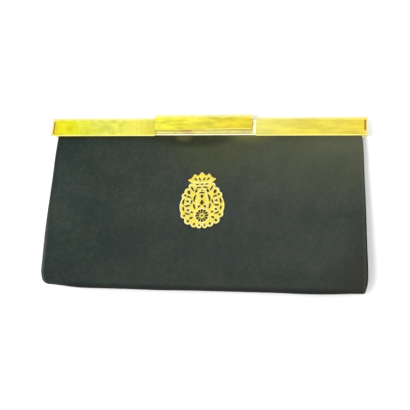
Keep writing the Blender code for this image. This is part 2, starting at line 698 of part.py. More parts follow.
def crest_plate():
    """The pierced plate as a bmesh: a filled flat curve with a thickness, its seams welded."""
    flat = bpy.data.curves.new("crest_outline", "CURVE")
    flat.dimensions = "2D"
    flat.fill_mode = "BOTH"
    flat.extrude = CREST_PLATE / 2
    for loop in crest_loops():
        spline = flat.splines.new("POLY")
        spline.points.add(len(loop) - 1)
        for point, (u, v) in zip(spline.points, loop):
            point.co = (u * MM, v * MM, 0.0, 1.0)
        spline.use_cyclic_u = True
    guide = bpy.data.objects.new("crest_outline", flat)
    bpy.context.scene.collection.objects.link(guide)
    mesh = bpy.data.meshes.new_from_object(guide)
    bpy.data.objects.remove(guide)
    bm = bmesh.new()
    bm.from_mesh(mesh)
    bmesh.ops.remove_doubles(bm, verts=bm.verts, dist=1e-7)
    bmesh.ops.translate(bm, verts=bm.verts, vec=(0, 0, CREST_PLATE / 2))
    return bm


def add_ridge(bm, path, closed=False):
    """A raised rib along a path on the plate, wider at its foot than on top."""
    low, high = CREST_PLATE / 2, CREST_PLATE + CREST_RELIEF
    foot, top = RIDGE_WIDTH / 2, RIDGE_WIDTH / 2 * RIDGE_TOP_SHARE
    rings = []
    last = len(path) - 1
    for index, (u, v) in enumerate(path):
        before = path[index - 1] if closed or index else path[0]
        after = path[(index + 1) % len(path)] if closed or index < last else path[last]
        along = Vector((after[0] - before[0], after[1] - before[1])).normalized()
        ring = []
        for across, depth in ((-foot, low), (-top, high), (top, high), (foot, low)):
            x, y = u - along.y * across, v + along.x * across
            ring.append(bm.verts.new((x * MM, y * MM, depth)))
        rings.append(ring)
    pairs = list(zip(rings, rings[1:]))
    if closed:
        pairs.append((rings[-1], rings[0]))
    else:
        bm.faces.new(rings[0])
        bm.faces.new(rings[-1])
    for first, second in pairs:
        for corner in range(4):
            after = (corner + 1) % 4
            bm.faces.new((first[corner], first[after], second[after], second[corner]))


def arc_path(arc):
    points = []
    for step in range(arc.steps + 1):
        angle = math.radians(arc.start + (arc.end - arc.start) * step / arc.steps)
        points.append((arc.u + arc.wide * math.cos(angle), arc.v + arc.tall * math.sin(angle)))
    return points


def crest_relief():
    """The raised work: rim, rosette ring, oval, crown bands and scrolls."""
    bm = bmesh.new()
    rim = crest_rim(RIM_INSET, RIM_STEPS)
    add_ridge(bm, mirrored(rim[1:]) + rim)
    ring = Arc("rosette_ring", *ROSETTE, ROSETTE_RING, ROSETTE_RING, 0, 360, RING_STEPS)
    add_ridge(bm, arc_path(ring)[:-1], closed=True)
    for arc in ARCS:
        path = arc_path(arc)
        add_ridge(bm, path)
        if arc.u:
            add_ridge(bm, [(-u, v) for u, v in path])
    bmesh.ops.recalc_face_normals(bm, faces=bm.faces)
    return bm


def crown_ball(u, v, radius):
    bm = bmesh.new()
    bmesh.ops.create_icosphere(bm, subdivisions=1, radius=radius * MM)
    bmesh.ops.translate(bm, verts=bm.verts, vec=(u * MM, v * MM, CREST_PLATE))
    return bm


def build_crest():
    """The pierced gilt plate with its raised work, lying on the slope of the front panel."""
    crest = add_object("crest", crest_plate(), CREST_GILT, roughness=0.3)
    join(crest, crest_relief())
    for ball in CROWN_BALLS:
        for u in {ball.u, -ball.u}:
            join(crest, crown_ball(u, ball.v, ball.radius))
    half = CREST_OVAL[1] * MM
    foot, top = CREST_HEIGHT - half, CREST_HEIGHT + half
    slope = math.atan2(front_depth(foot) - front_depth(top), top - foot)
    crest.rotation_mode = "ZYX"
    crest.rotation_euler = (-slope, 0, CREST_TURN)
    crest.location = (CREST_X, lying(CREST_HEIGHT), front_depth(CREST_HEIGHT) + CREST_SEAT)


def main():
    for item in list(bpy.data.objects):
        bpy.data.objects.remove(item)
    build_body_cover()
    build_gusset("gusset_left", -1)
    build_gusset("gusset_right", 1)
    build_frame_front()
    build_frame_back()
    build_rivet("hinge_rivet_left", -1)
    build_rivet("hinge_rivet_right", 1)
    build_bar("bar_left", LEFT_BAR_INNER, -BAR_LENGTH / 2)
    build_bar("bar_right", RIGHT_BAR_INNER, BAR_LENGTH / 2)
    build_clasp()
    build_clasp_pin()
    build_crest()


main()
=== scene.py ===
import math
from collections import namedtuple

import bmesh
import bpy
from mathutils import Matrix, Vector, noise


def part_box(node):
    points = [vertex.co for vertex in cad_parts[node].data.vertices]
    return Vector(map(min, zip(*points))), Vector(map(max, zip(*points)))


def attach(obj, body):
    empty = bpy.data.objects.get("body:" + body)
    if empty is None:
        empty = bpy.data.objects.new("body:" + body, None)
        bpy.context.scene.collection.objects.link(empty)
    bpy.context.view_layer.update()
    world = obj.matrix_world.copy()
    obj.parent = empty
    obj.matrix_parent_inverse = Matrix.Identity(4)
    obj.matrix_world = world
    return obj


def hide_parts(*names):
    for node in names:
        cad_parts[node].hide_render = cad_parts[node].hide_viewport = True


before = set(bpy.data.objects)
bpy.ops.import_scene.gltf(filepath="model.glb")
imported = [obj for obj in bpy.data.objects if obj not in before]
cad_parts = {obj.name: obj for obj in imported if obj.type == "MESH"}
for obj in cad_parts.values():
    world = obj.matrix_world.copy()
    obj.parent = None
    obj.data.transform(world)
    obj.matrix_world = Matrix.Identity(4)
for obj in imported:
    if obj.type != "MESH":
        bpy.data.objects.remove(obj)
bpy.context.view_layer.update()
MM = 0.001


# The table and the light. The clutch lies on white card in a white tent, under a soft lamp
# high up to its left, and is seen from a little to the right, almost straight above. The
# lens is long, so the sides hardly spread.
CAMERA_PLACE = Vector((175.5, -82.6, 847.4)) * MM
CAMERA_TARGET = Vector((3.2, -2.8, 20.0)) * MM
CAMERA_ROLL = math.radians(1.75)
LENS_PIXELS = 1100.0  # the focal length, in pixels of the picture
PICTURE_PIXELS = 410.0
SENSOR_MM = 36.0
FLOOR_RADIUS = 4.0
TENT_LOW = 0.85  # how bright the tent is at the table
TENT_TOP = 1.25  # and overhead
LAMP_PLACE = Vector((-0.17, -0.09, 1.10))
LAMP_SIZE = 0.30
LAMP_POWER = 4.6


def linear(code):
    """A colour written as sRGB hex, in the linear values that Blender works in."""
    shares = [int(code[place : place + 2], 16) / 255 for place in (0, 2, 4)]
    return (*[s / 12.92 if s < 0.04045 else ((s + 0.055) / 1.055) ** 2.4 for s in shares], 1.0)


def plug(tree, node, inputs):
    """Fills a node's sockets with values, or with links from sockets or from whole nodes."""
    for socket, value in inputs.items():
        if isinstance(value, bpy.types.Node):
            value = next(output for output in value.outputs if output.enabled)
        if isinstance(value, bpy.types.NodeSocket):
            tree.links.new(value, node.inputs[socket])
        else:
            node.inputs[socket].default_value = value


def add_node(tree, kind, inputs, **settings):
    """Adds one shader node with its own settings, and plugs its sockets."""
    made = tree.nodes.new("ShaderNode" + kind)
    for name, value in settings.items():
        setattr(made, name, value)
    plug(tree, made, inputs)
    return made


def begin_material(name):
    """A new material: its tree, its shader and its place on the object in millimetres."""
    material = bpy.data.materials.new(name)
    material.use_nodes = True
    tree = material.node_tree
    place = add_node(tree, "TexCoord", {}).outputs["Object"]
    in_mm = add_node(tree, "VectorMath", {0: place, "Scale": 1 / MM}, operation="SCALE")
    return material, tree, tree.nodes["Principled BSDF"], in_mm


aim = (CAMERA_TARGET - CAMERA_PLACE).normalized()
right = aim.cross(Vector((-math.sin(CAMERA_ROLL), math.cos(CAMERA_ROLL), 0))).normalized()
turned = Matrix((right, right.cross(aim), -aim)).transposed().to_4x4()
camera = bpy.data.objects.new("camera", bpy.data.cameras.new("camera"))
camera.matrix_world = Matrix.Translation(CAMERA_PLACE) @ turned
camera.data.sensor_width = SENSOR_MM
camera.data.lens = LENS_PIXELS / PICTURE_PIXELS * SENSOR_MM
camera.data.clip_start = 10 * MM
bpy.context.scene.collection.objects.link(camera)
bpy.context.scene.camera = camera
bpy.context.scene.view_settings.view_transform = "Standard"

bpy.ops.object.select_all(action="DESELECT")
bpy.ops.mesh.primitive_circle_add(vertices=96, radius=FLOOR_RADIUS, fill_type="NGON")
floor = bpy.context.object
floor.name = "floor"
# Matt card gives back a soft, even white and no gloss.
card, tree, shader, _ = begin_material("matt_white_card")
card_look = {"Base Color": linear("FCFCFB"), "Roughness": 0.9, "Specular IOR Level": 0.1}
plug(tree, shader, card_look)
floor.data.materials.append(card)

world = bpy.data.worlds.new("white_tent")
world.use_nodes = True
tree = world.node_tree
way = add_node(tree, "SeparateXYZ", {0: add_node(tree, "TexCoord", {}).outputs["Generated"]})
glow = add_node(tree, "MapRange", {"Value": way.outputs["Z"], "To Min": TENT_LOW, "To Max": TENT_TOP})
plug(tree, tree.nodes["Background"], {"Color": (1.0, 1.0, 1.0, 1.0), "Strength": glow})
bpy.context.scene.world = world

# The lamp's own disc is kept off the gilt, as a polariser on a real lamp would do.
light = bpy.data.lights.new("softbox", "AREA")
light.shape = "DISK"
light.size = LAMP_SIZE
light.energy = LAMP_POWER
lamp = bpy.data.objects.new("softbox", light)
lamp.location = LAMP_PLACE
lamp.rotation_euler = (-LAMP_PLACE).to_track_quat("-Z", "Y").to_euler()
lamp.visible_camera = False
lamp.visible_glossy = False
bpy.context.scene.collection.objects.link(lamp)


# The pouch: one sheet of black goat suede over bent board, down the front, round the
# bottom fold and up the back. The suede is turned in along both side edges, where its
# double thickness stands as a low ridge.
cover_low, cover_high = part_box("body_cover")
FOOT_Y = cover_low.y
FULLEST_HALF = cover_high.x
FOLD_RADIUS = cover_high.z / 2
COVER_TOP = cover_high.y - FOOT_Y
COVER_WALL = 2.0 * MM
MOUTH_HEIGHT = 121.4 * MM
MOUTH_HALF = 121.3 * MM
MOUTH_DEPTH = 10.5 * MM
MOUTH_LIFT = 1.5 * MM
PANEL_HEIGHT = MOUTH_HEIGHT - FOLD_RADIUS
FULLEST_HEIGHT = 18.0 * MM
SIDE_CURVE = 1.15

# How each side edge leaves a plain curve: its corner's radius, how it draws in above the
# corner, how far the fold rises there, and (height, extra width) pairs in millimetres.
Side = namedtuple("Side", "corner draw_tall draw_wide rise wider")
LEFT = Side(
    corner=3.0 * MM,
    draw_tall=6.0 * MM,
    draw_wide=0.3 * MM,
    rise=2.2 * MM,
    wider=((0, -1.05), (20, -1.12), (28, -0.91), (36, -0.6), (43, -0.37), (54, -0.24), (73, -0.14),
           (92, 0)),
)
RIGHT = Side(
    corner=1.2 * MM,
    draw_tall=13.0 * MM,
    draw_wide=2.0 * MM,
    rise=0.9 * MM,
    wider=((0, 0.4), (24, 0.36), (36, 0.2), (54, 0.29), (70, 0.5), (92, 0.51), (111, 0.74),
           (118, 0.72), (121.4, 0.15)),
)
RISE_FROM = 98.0 * MM
RISE_HEIGHT = 25.0 * MM
Sag = namedtuple("Sag", "middle reach deep")
SAGS = (Sag(-36.0 * MM, 30.0 * MM, 0.28 * MM), Sag(84.0 * MM, 30.0 * MM, 0.4 * MM))
PANEL_SWELL = 0.12
PANEL_CROWN = 1.4 * MM
CROWN_POWER = 5
LIFT_LENGTH = 12.0 * MM
PANEL_STEP = 4.0 * MM
FOLD_STEPS = 18
EDGE_COLUMNS_MM = (0.9, 1.7, 2.3, 2.9, 4.2, 6.5, 10.0, 15.0)  # in from the side edge
COLUMN_STEP_MM = 7.0
HEM_WIDTH = 2.0 * MM
HEM_PROUD = 0.2 * MM
HEM_WORN = 70.0 * MM  # the left hem is rubbed up to here
HEM_SOFT = 0.15  # how rubbed the right hem is
HEM_EDGE_LIGHT = 0.6  # and the very edge of both, painted paler as light
EDGE_WIDTH = 0.5 * MM
GROOVE_INSET = 2.3 * MM
GROOVE_HALF = 0.2 * MM
GROOVE_DEPTH = 0.3 * MM
WAVE_LENGTH = 34.0 * MM
WAVE_HEIGHT = 0.22 * MM
SUEDE_TURN = math.radians(50)  # edges that turn further than this stay sharp


def pick(kind, wanted):
    """Selects what passes a test among the faces, edges or corners being edited."""
    bpy.ops.mesh.select_mode(type=kind)
    bpy.ops.mesh.select_all(action="DESELECT")
    mesh = bpy.context.object.data
    shape = bmesh.from_edit_mesh(mesh)
    for item in {"VERT": shape.verts, "EDGE": shape.edges, "FACE": shape.faces}[kind]:
        if wanted(item):
            item.select_set(True)
    bmesh.update_edit_mesh(mesh)


def cut_across(place, normal):
    """Adds an edge loop all round the piece being edited, where a plane crosses it."""
    bpy.ops.mesh.select_all(action="SELECT")
    bpy.ops.mesh.bisect(plane_co=place, plane_no=normal)


def pull(step):
    """Extrudes what is selected, and moves the new part by a step."""
    bpy.ops.mesh.extrude_region_move(TRANSFORM_OT_translate={"value": step})


def apply_modifier(piece, kind, **settings):
    """Puts a modifier on the piece and applies it."""
    modifier = piece.modifiers.new(kind.title(), kind)
    for name, value in settings.items():
        setattr(modifier, name, value)
    bpy.context.view_layer.objects.active = piece
    bpy.ops.object.modifier_apply(modifier=modifier.name)


def smooth(share):
    """Eases a share from 0 to 1, and holds it there outside of that run."""
    share = min(1.0, max(0.0, share))
    return share * share * (3 - 2 * share)


def half_width(height):
    """Half the pouch's width at a height, before its corners are rounded."""
    climb = max(0.0, height - FULLEST_HEIGHT) / (MOUTH_HEIGHT - FULLEST_HEIGHT)
    return FULLEST_HALF - (FULLEST_HALF - MOUTH_HALF) * min(1.0, climb) ** SIDE_CURVE


def side_inset(side, height):
    """How far a side edge falls short of half_width, by its own bulges and drawn-in corner."""
    last_height, last_wider = side.wider[0]
    wider = side.wider[-1][1]
    for next_height, next_wider in side.wider:
        if height < next_height * MM:
            run = (max(height / MM, last_height) - last_height) / max(next_height - last_height, 1)
            wider = last_wider + (next_wider - last_wider) * run
            break
        last_height, last_wider = next_height, next_wider
    inset = -wider * MM
    if height < side.draw_tall:
        inset += side.draw_wide * (1 - max(0.0, height) / side.draw_tall) ** 2
    if height < side.corner:
        short = 1 - max(0.0, height) / side.corner
        inset += side.corner * (1 - math.sqrt(1 - short**2))
    return inset


def fold_rise(side, x, height):
    """How far the bottom fold has crept up towards its ends, less where it sags."""
    lift = side.rise * smooth((abs(x) - RISE_FROM) / (FULLEST_HALF - RISE_FROM))
    for sag in SAGS:
        lift -= sag.deep * smooth(1 - abs(x - sag.middle) / sag.reach)
    return lift * (1 - smooth(height / RISE_HEIGHT))


def front_depth(height):
    """How high the front panel's face lies over the table at a height up the pouch."""
    run = min(1.0, max(0.0, (MOUTH_HEIGHT - height) / PANEL_HEIGHT))
    return MOUTH_DEPTH + (2 * FOLD_RADIUS - MOUTH_DEPTH) * run * (1 + PANEL_SWELL * (1 - run))


def back_depth(height):
    """How high the back panel's face lies, which lifts into the frame near the mouth."""
    return MOUTH_LIFT * smooth((height - MOUTH_HEIGHT + LIFT_LENGTH) / LIFT_LENGTH)


Row = namedtuple("Row", "height depth")


def cover_rows():
    """The pouch's rows from the front of the mouth, round the fold, to the back of it."""
    panel_steps = round(PANEL_HEIGHT / PANEL_STEP)
    rows = []
    for step in range(panel_steps):
        height = MOUTH_HEIGHT - PANEL_HEIGHT * step / panel_steps
        rows.append(Row(height, front_depth(height)))
    for step in range(FOLD_STEPS + 1):
        turn = math.pi * step / FOLD_STEPS
        height = FOLD_RADIUS * (1 - math.sin(turn))
        rows.append(Row(height, FOLD_RADIUS * (1 + math.cos(turn))))
    for step in range(1, panel_steps + 1):
        height = FOLD_RADIUS + PANEL_HEIGHT * step / panel_steps
        rows.append(Row(height, back_depth(height)))
    rows.append(Row(COVER_TOP, MOUTH_LIFT))
    return rows


rows = cover_rows()
bpy.ops.object.select_all(action="DESELECT")
tuck = COVER_TOP - MOUTH_HEIGHT
tuck_middle = FOOT_Y + MOUTH_HEIGHT + tuck / 2
bpy.ops.mesh.primitive_plane_add(size=1, location=(0, tuck_middle, MOUTH_DEPTH))
cover = bpy.context.object
cover.name = "suede_cover"
cover.scale = (2 * MOUTH_HALF, tuck, 1)
bpy.ops.object.transform_apply(location=True, rotation=True, scale=True)
bpy.ops.object.mode_set(mode="EDIT")
columns = [MOUTH_HALF - inset * MM for inset in EDGE_COLUMNS_MM]
while columns[-1] > COLUMN_STEP_MM * MM:
    columns.append(columns[-1] - COLUMN_STEP_MM * MM)
for x in columns + [0.0] + [-x for x in columns]:
    cut_across((x, 0, 0), (1, 0, 0))
pick("EDGE", lambda edge: all(v.co.y < tuck_middle for v in edge.verts))
last = rows[0]
for row in rows[1:]:
    step = (0, row.height - last.height, row.depth - last.depth)
    pull(step)
    grown = half_width(row.height) / half_width(last.height)
    centre = (0, FOOT_Y + row.height, row.depth)
    bpy.ops.transform.resize(value=(grown, 1, 1), center_override=centre)
    last = row
bpy.ops.object.mode_set(mode="OBJECT")

# The board gives way a little towards the side edges. The hem stands proud there, with a
# shallow groove along it, and its nap is rubbed at the lower left. Its paler tone along the
# edges is also painted light.
wear_and_painted_light = cover.data.attributes.new("hem", "FLOAT", "POINT")
for vert in cover.data.vertices:
    height = vert.co.y - FOOT_Y
    share = vert.co.x / half_width(height)
    from_edge = (1 - abs(share)) * MOUTH_HALF
    side = LEFT if share < 0 else RIGHT
    worn = smooth((HEM_WORN - height) / HEM_WORN * 2) if side is LEFT else HEM_SOFT
    if from_edge < EDGE_WIDTH:
        worn = max(worn, HEM_EDGE_LIGHT)
    wear_and_painted_light.data[vert.index].value = worn if from_edge < HEM_WIDTH else 0.0
    lift = fold_rise(side, vert.co.x, height)
    if vert.co.z > FOLD_RADIUS and height < MOUTH_HEIGHT - PANEL_STEP / 2:
        fullness = smooth((vert.co.z - FOLD_RADIUS) / FOLD_RADIUS * 4)
        vert.co.z -= PANEL_CROWN * abs(share) ** CROWN_POWER * fullness
        vert.co.z += WAVE_HEIGHT * noise.noise(vert.co / WAVE_LENGTH) * fullness
        if abs(from_edge - GROOVE_INSET) < GROOVE_HALF:
            vert.co.z -= GROOVE_DEPTH
        elif from_edge < HEM_WIDTH:
            vert.co.z += HEM_PROUD
    vert.co.x -= share * side_inset(side, height)
    vert.co.y += lift

apply_modifier(cover, "SUBSURF", levels=1, render_levels=1, boundary_smooth="PRESERVE_CORNERS")
apply_modifier(cover, "SOLIDIFY", thickness=COVER_WALL, offset=-1)
bpy.ops.object.shade_smooth_by_angle(angle=SUEDE_TURN)

# Goat suede, dyed black and brushed: a short nap that lies in drifts. Its green-black at the
# far left and olive towards the frame on the right are a painted falloff and glow of light.
# Its hems are rubbed grey, and also painted paler as light along their edges, and painted
# shade darkens the nap round the fold.

# Each pattern's name, size in millimetres and detail, how much it counts in the drifts of
# the nap, and where the painted falloff and glow of light change along the pouch. The nap
# itself is too fine to show, so its grain is drawn coarser.
PATTERNS = (("grain", 0.9, 2.0), ("mottle", 4.0, 3.0), ("blotch", 22.0, 3.0))
DRIFTS = (("blotch", 1.3), ("mottle", 1.1), ("strokes", 0.45), ("grain", 2.2))
RUNS_MM = (("painted_lit_middle", "X", -110, 0), ("across", "X", -72, 115), ("upward", "Y", -8, 52))
STROKE_MM = (9.0, 1.5, 1.5)
STROKE_TURN = math.radians(55)
GLOW_DRIFT_SHARE = 0.25  # how far the drifts reach into the painted glow
FRONT_MM = (5.0, 7.0)  # the front panel lies above this height over the table
BROWN_WAY = (1.0, -0.55, 0.0)  # towards the lower right corner
BROWN_MM = (116.0, 160.0)
BROWN_SHARE = 0.7
# Painted shade round the fold: from where to where in Y it fades out, and its darkest share.
FOLD_SHADE_MM = (-69.0, -63.5)
FOLD_SHADE_DARKEST = 0.2
LINT_MM = 9.0
LINT_BARE = 0.82  # the share of the suede that stays clear of lint
LINT_DOT = (0.03, 0.06)
LINT_SHARE = 0.6

# Marks on the suede, most of them painted light and shade: the place and reach in
# millimetres, the share of the reach that is covered evenly, and how the colour goes on.
Mark = namedtuple("Mark", "x y wide tall core blend colour")
SUEDE_MARKS_AND_PAINTED_LIGHT = (
    Mark(0.0, 53.0, 400.0, 3.6, 0.25, "MULTIPLY", (1.33, 1.23, 0.94, 1.0)),  # painted reflection of the gilt along the frame
    Mark(-110.0, 53.0, 130.0, 4.4, 0.25, "MULTIPLY", (1.0, 0.75, 0.3, 1.0)),  # more of it on the left
    Mark(-11.0, 53.0, 42.0, 12.0, 0.5, "MULTIPLY", (0.6, 0.63, 0.57, 1.0)),  # painted shadow of the clasp
    Mark(0.0, 47.0, 58.0, 34.0, 0.2, "MULTIPLY", (1.0, 1.0, 0.78, 1.0)),  # olive round that place
    Mark(-17.5, 53.0, 9.0, 7.0, 0.4, "MULTIPLY", (2.1, 1.9, 1.6, 1.0)),  # a painted glint in that shadow
    Mark(38.0, 52.5, 23.0, 9.0, 0.2, "MULTIPLY", (1.5, 1.38, 0.98, 1.0)),  # painted reflection of the rail at the clasp's right end
    Mark(104.0, 50.0, 34.0, 16.0, 0.2, "MULTIPLY", (1.16, 1.14, 1.25, 1.0)),  # paler and bluer by the frame's right end
    Mark(-118.0, -62.0, 50.0, 24.0, 0.2, "MULTIPLY", (0.93, 0.89, 0.91, 1.0)),  # painted shade, lower left, round the fold
    Mark(50.0, -63.0, 130.0, 17.0, 0.4, "MULTIPLY", (0.84, 0.86, 0.87, 1.0)),  # and along the fold
    Mark(-109.0, -2.0, 22.0, 36.0, 0.4, "MULTIPLY", (1.22, 1.17, 1.2, 1.0)),  # paler up the left side
    Mark(-14.0, -36.0, 100.0, 30.0, 0.4, "MULTIPLY", (0.83, 0.86, 0.88, 1.0)),  # darker below the crest
    Mark(0.8, -3.3, 18.4, 16.8, 0.9, "MIX", linear("5A4A00")),  # painted reflection of the crest's gilt, seen through its piercings
    Mark(-0.2, 14.0, 10.2, 9.0, 0.85, "MIX", linear("5A4A00")),  # and of its crown
)


def dye_suede(name, away, painted_lit_middle, painted_glow, hem):
    """A brushed suede: its nap's own colours, painted light that darkens the far left and glows to the
    upper right, and its hems.
    """
    material, tree, shader, place = begin_material(name)
    noises = {}
    for part, size, detail in PATTERNS:
        inputs = {"Vector": place, "Scale": 1 / size, "Detail": detail, "Roughness": 0.6}
        noises[part] = add_node(tree, "TexNoise", inputs)
    turned = add_node(
        tree,
        "Mapping",
        {"Vector": place, "Rotation": (0, 0, STROKE_TURN), "Scale": STROKE_MM},
        vector_type="TEXTURE",
    )
    inputs = {"Vector": turned, "Scale": 1.0, "Detail": 2.0}
    noises["strokes"] = add_node(tree, "TexNoise", inputs)
    along = add_node(tree, "SeparateXYZ", {0: place})
    runs = {}
    for part, axis, low, high in RUNS_MM:
        runs[part] = add_node(
            tree,
            "MapRange",
            {"Value": along.outputs[axis], "From Min": low, "From Max": high},
            interpolation_type="LINEAR" if axis == "Y" else "SMOOTHSTEP",
        )
    # Painted light: a falloff that darkens the far left, and a glow that grows to the right and
    # upwards, towards the frame.
    painted_glow_share = add_node(tree, "Math", {0: runs["across"], 1: runs["upward"]}, operation="MULTIPLY")
    uneven = 0.0
    for part, share in DRIFTS:
        centred = add_node(tree, "Math", {0: noises[part], 1: -0.5}, operation="ADD")
        uneven = add_node(tree, "Math", {0: centred, 1: share, 2: uneven}, operation="MULTIPLY_ADD")
    lit_middle_share = add_node(tree, "Math", {0: runs["painted_lit_middle"], 1: uneven}, operation="ADD")
    lifted = add_node(
        tree, "Math", {0: uneven, 1: GLOW_DRIFT_SHARE, 2: painted_glow_share}, operation="MULTIPLY_ADD"
    )
    ground = add_node(
        tree,
        "Mix",
        {0: lit_middle_share, 6: linear(away), 7: linear(painted_lit_middle)},
        data_type="RGBA",
        clamp_factor=False,
    )
    colour = add_node(tree, "Mix", {0: lifted, 6: ground, 7: linear(painted_glow)}, data_type="RGBA")

    # The marks are on the front only.
    fronts = {"Value": along.outputs["Z"], "From Min": FRONT_MM[0], "From Max": FRONT_MM[1]}
    on_front = add_node(tree, "MapRange", fronts)
    for mark in SUEDE_MARKS_AND_PAINTED_LIGHT:
        centre, reach = (mark.x, mark.y, 0.0), (1 / mark.wide, 1 / mark.tall, 0.0)
        from_mark = add_node(tree, "VectorMath", {0: place, 1: centre}, operation="SUBTRACT")
        in_reach = add_node(tree, "VectorMath", {0: from_mark, 1: reach}, operation="MULTIPLY")
        share_out = add_node(tree, "VectorMath", {0: in_reach}, operation="LENGTH")
        marked = add_node(
            tree,
            "MapRange",
            {"Value": share_out, "From Min": 1.0, "From Max": mark.core, "To Max": on_front},
            interpolation_type="SMOOTHSTEP",
        )
        inputs = {0: marked, 6: colour, 7: mark.colour}
        colour = add_node(tree, "Mix", inputs, data_type="RGBA", blend_type=mark.blend)

    # The lower right corner is browner and darker, the hems are rubbed and are painted paler as
    # light along their edges, and painted shade darkens the nap round the fold.
    cornerward = add_node(tree, "VectorMath", {0: place, 1: BROWN_WAY}, operation="DOT_PRODUCT")
    inputs = {"Value": cornerward, "From Min": BROWN_MM[0], "From Max": BROWN_MM[1]}
    browned = add_node(
        tree, "MapRange", {**inputs, "To Max": BROWN_SHARE}, interpolation_type="SMOOTHSTEP"
    )
    hem_share = add_node(tree, "Attribute", {}, attribute_name="hem").outputs["Fac"]
    rubbing_and_edge_light = add_node(tree, "Math", {0: hem_share, 1: noises["mottle"]}, operation="MULTIPLY")
    for share, code in ((browned, "2C2A23"), (rubbing_and_edge_light, hem)):
        colour = add_node(tree, "Mix", {0: share, 6: colour, 7: linear(code)}, data_type="RGBA")
    inputs = {"Value": along.outputs["Y"], "From Min": FOLD_SHADE_MM[0], "From Max": FOLD_SHADE_MM[1]}
    fold_shade = add_node(
        tree, "MapRange", {**inputs, "To Min": FOLD_SHADE_DARKEST}, interpolation_type="SMOOTHSTEP"
    )
    inputs = {0: 1.0, 6: colour, 7: fold_shade}
    fold_shaded = add_node(tree, "Mix", inputs, data_type="RGBA", blend_type="MULTIPLY")

    # Specks of pale lint, a few to the hand's breadth.
    cells = add_node(tree, "TexVoronoi", {"Vector": place, "Scale": 1 / LINT_MM})
    picked = add_node(tree, "SeparateColor", {0: cells.outputs["Color"]})
    few = add_node(tree, "Math", {0: picked.outputs[0], 1: LINT_BARE}, operation="GREATER_THAN")
    inputs = {"Value": cells.outputs["Distance"], "From Min": LINT_DOT[0], "From Max": LINT_DOT[1]}
    speck = add_node(tree, "MapRange", {**inputs, "To Min": LINT_SHARE, "To Max": 0.0})
    lint = add_node(tree, "Math", {0: few, 1: speck}, operation="MULTIPLY")
    linted = add_node(tree, "Mix", {0: lint, 6: fold_shaded, 7: linear("7C8078")}, data_type="RGBA")
    dry = add_node(tree, "MapRange", {"Value": noises["grain"], "To Min": 0.8, "To Max": 1.0})
    inputs = {0: noises["strokes"], 1: 1.5, 2: noises["grain"]}
    pile = add_node(tree, "Math", inputs, operation="MULTIPLY_ADD")
    bump = add_node(tree, "Bump", {"Height": pile, "Distance": 0.15 * MM, "Strength": 0.7})
    suede_look = {
        "Base Color": linted,
        "Roughness": dry,
        "Normal": bump,
        "Specular IOR Level": 0.06,
        "Sheen Weight": 0.03,
        "Sheen Roughness": 0.5,
    }
    plug(tree, shader, suede_look)
    return material


cover_suede = dye_suede("goat_suede_brushed_black", "28312D", "343935", "4C4F3C", "585957")
cover.data.materials.append(cover_suede)
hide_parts("body_cover")
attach(cover, "clutch")


# The gussets: a strip of the same suede at each side, folded in between the panels like
# a V that is deep at the mouth and closes towards the fold, glued inside the cover.
GUSSET_WALL = 1.0 * MM
GUSSET_TOP = 120.8 * MM
GUSSET_FOOT = 3.8 * MM
GUSSET_INSET = 1.0 * MM
GUSSET_TUCK = 17.0 * MM
GUSSET_CURVE = 1.6
GUSSET_ROWS = 26
GUSSET_COLUMNS = 16
GUSSET_CROWDING = 1.5  # its rows lie closer together towards the fold
GUSSET_EDGE = 0.3 * MM
GUSSET_CORNER = math.radians(60)  # edges that turn further than this are rounded
CLEAR = 0.3 * MM
# The gussets' suede is the same as the cover's, dyed darker as painted shade where it lies folded in
# between the panels.
gusset_suede_shaded = dye_suede("goat_suede_gusset_shaded", "20261F", "2A2C28", "3A3A2C", "3A3B38")


def gusset_room(height):
    """(middle, half) of the depth that a gusset fills between the cover's walls."""
    if height < FOLD_RADIUS:
        inner = FOLD_RADIUS - COVER_WALL
        half = inner * math.sqrt(max(0.0, 1 - ((FOLD_RADIUS - height) / inner) ** 2))
        middle = FOLD_RADIUS - PANEL_CROWN / 2
        half -= PANEL_CROWN / 2
    else:
        front = front_depth(height) - COVER_WALL - PANEL_CROWN
        back = back_depth(height) + COVER_WALL
        middle, half = (front + back) / 2, (front - back) / 2
    return middle, half - CLEAR - GUSSET_WALL


def gusset_edge(height, side):
    """X of the seam where a gusset joins the cover's side edges, as a distance."""
    outer = height
    if height < FOLD_RADIUS:
        outer = FOLD_RADIUS * (1 - (FOLD_RADIUS - height) / (FOLD_RADIUS - COVER_WALL))
    return half_width(outer) - side_inset(side, outer) - GUSSET_INSET


GussetRow = namedtuple("GussetRow", "height middle spread edge tuck")


def gusset_rows(shape):
    """A gusset's rows from the fold up to the mouth."""
    rows = []
    for step in range(GUSSET_ROWS):
        climb = (step / (GUSSET_ROWS - 1)) ** GUSSET_CROWDING
        height = GUSSET_FOOT + (GUSSET_TOP - GUSSET_FOOT) * climb
        tuck = GUSSET_INSET + (GUSSET_TUCK - GUSSET_INSET) * climb
        rows.append(GussetRow(height, *gusset_room(height), gusset_edge(height, shape), tuck))
    return rows


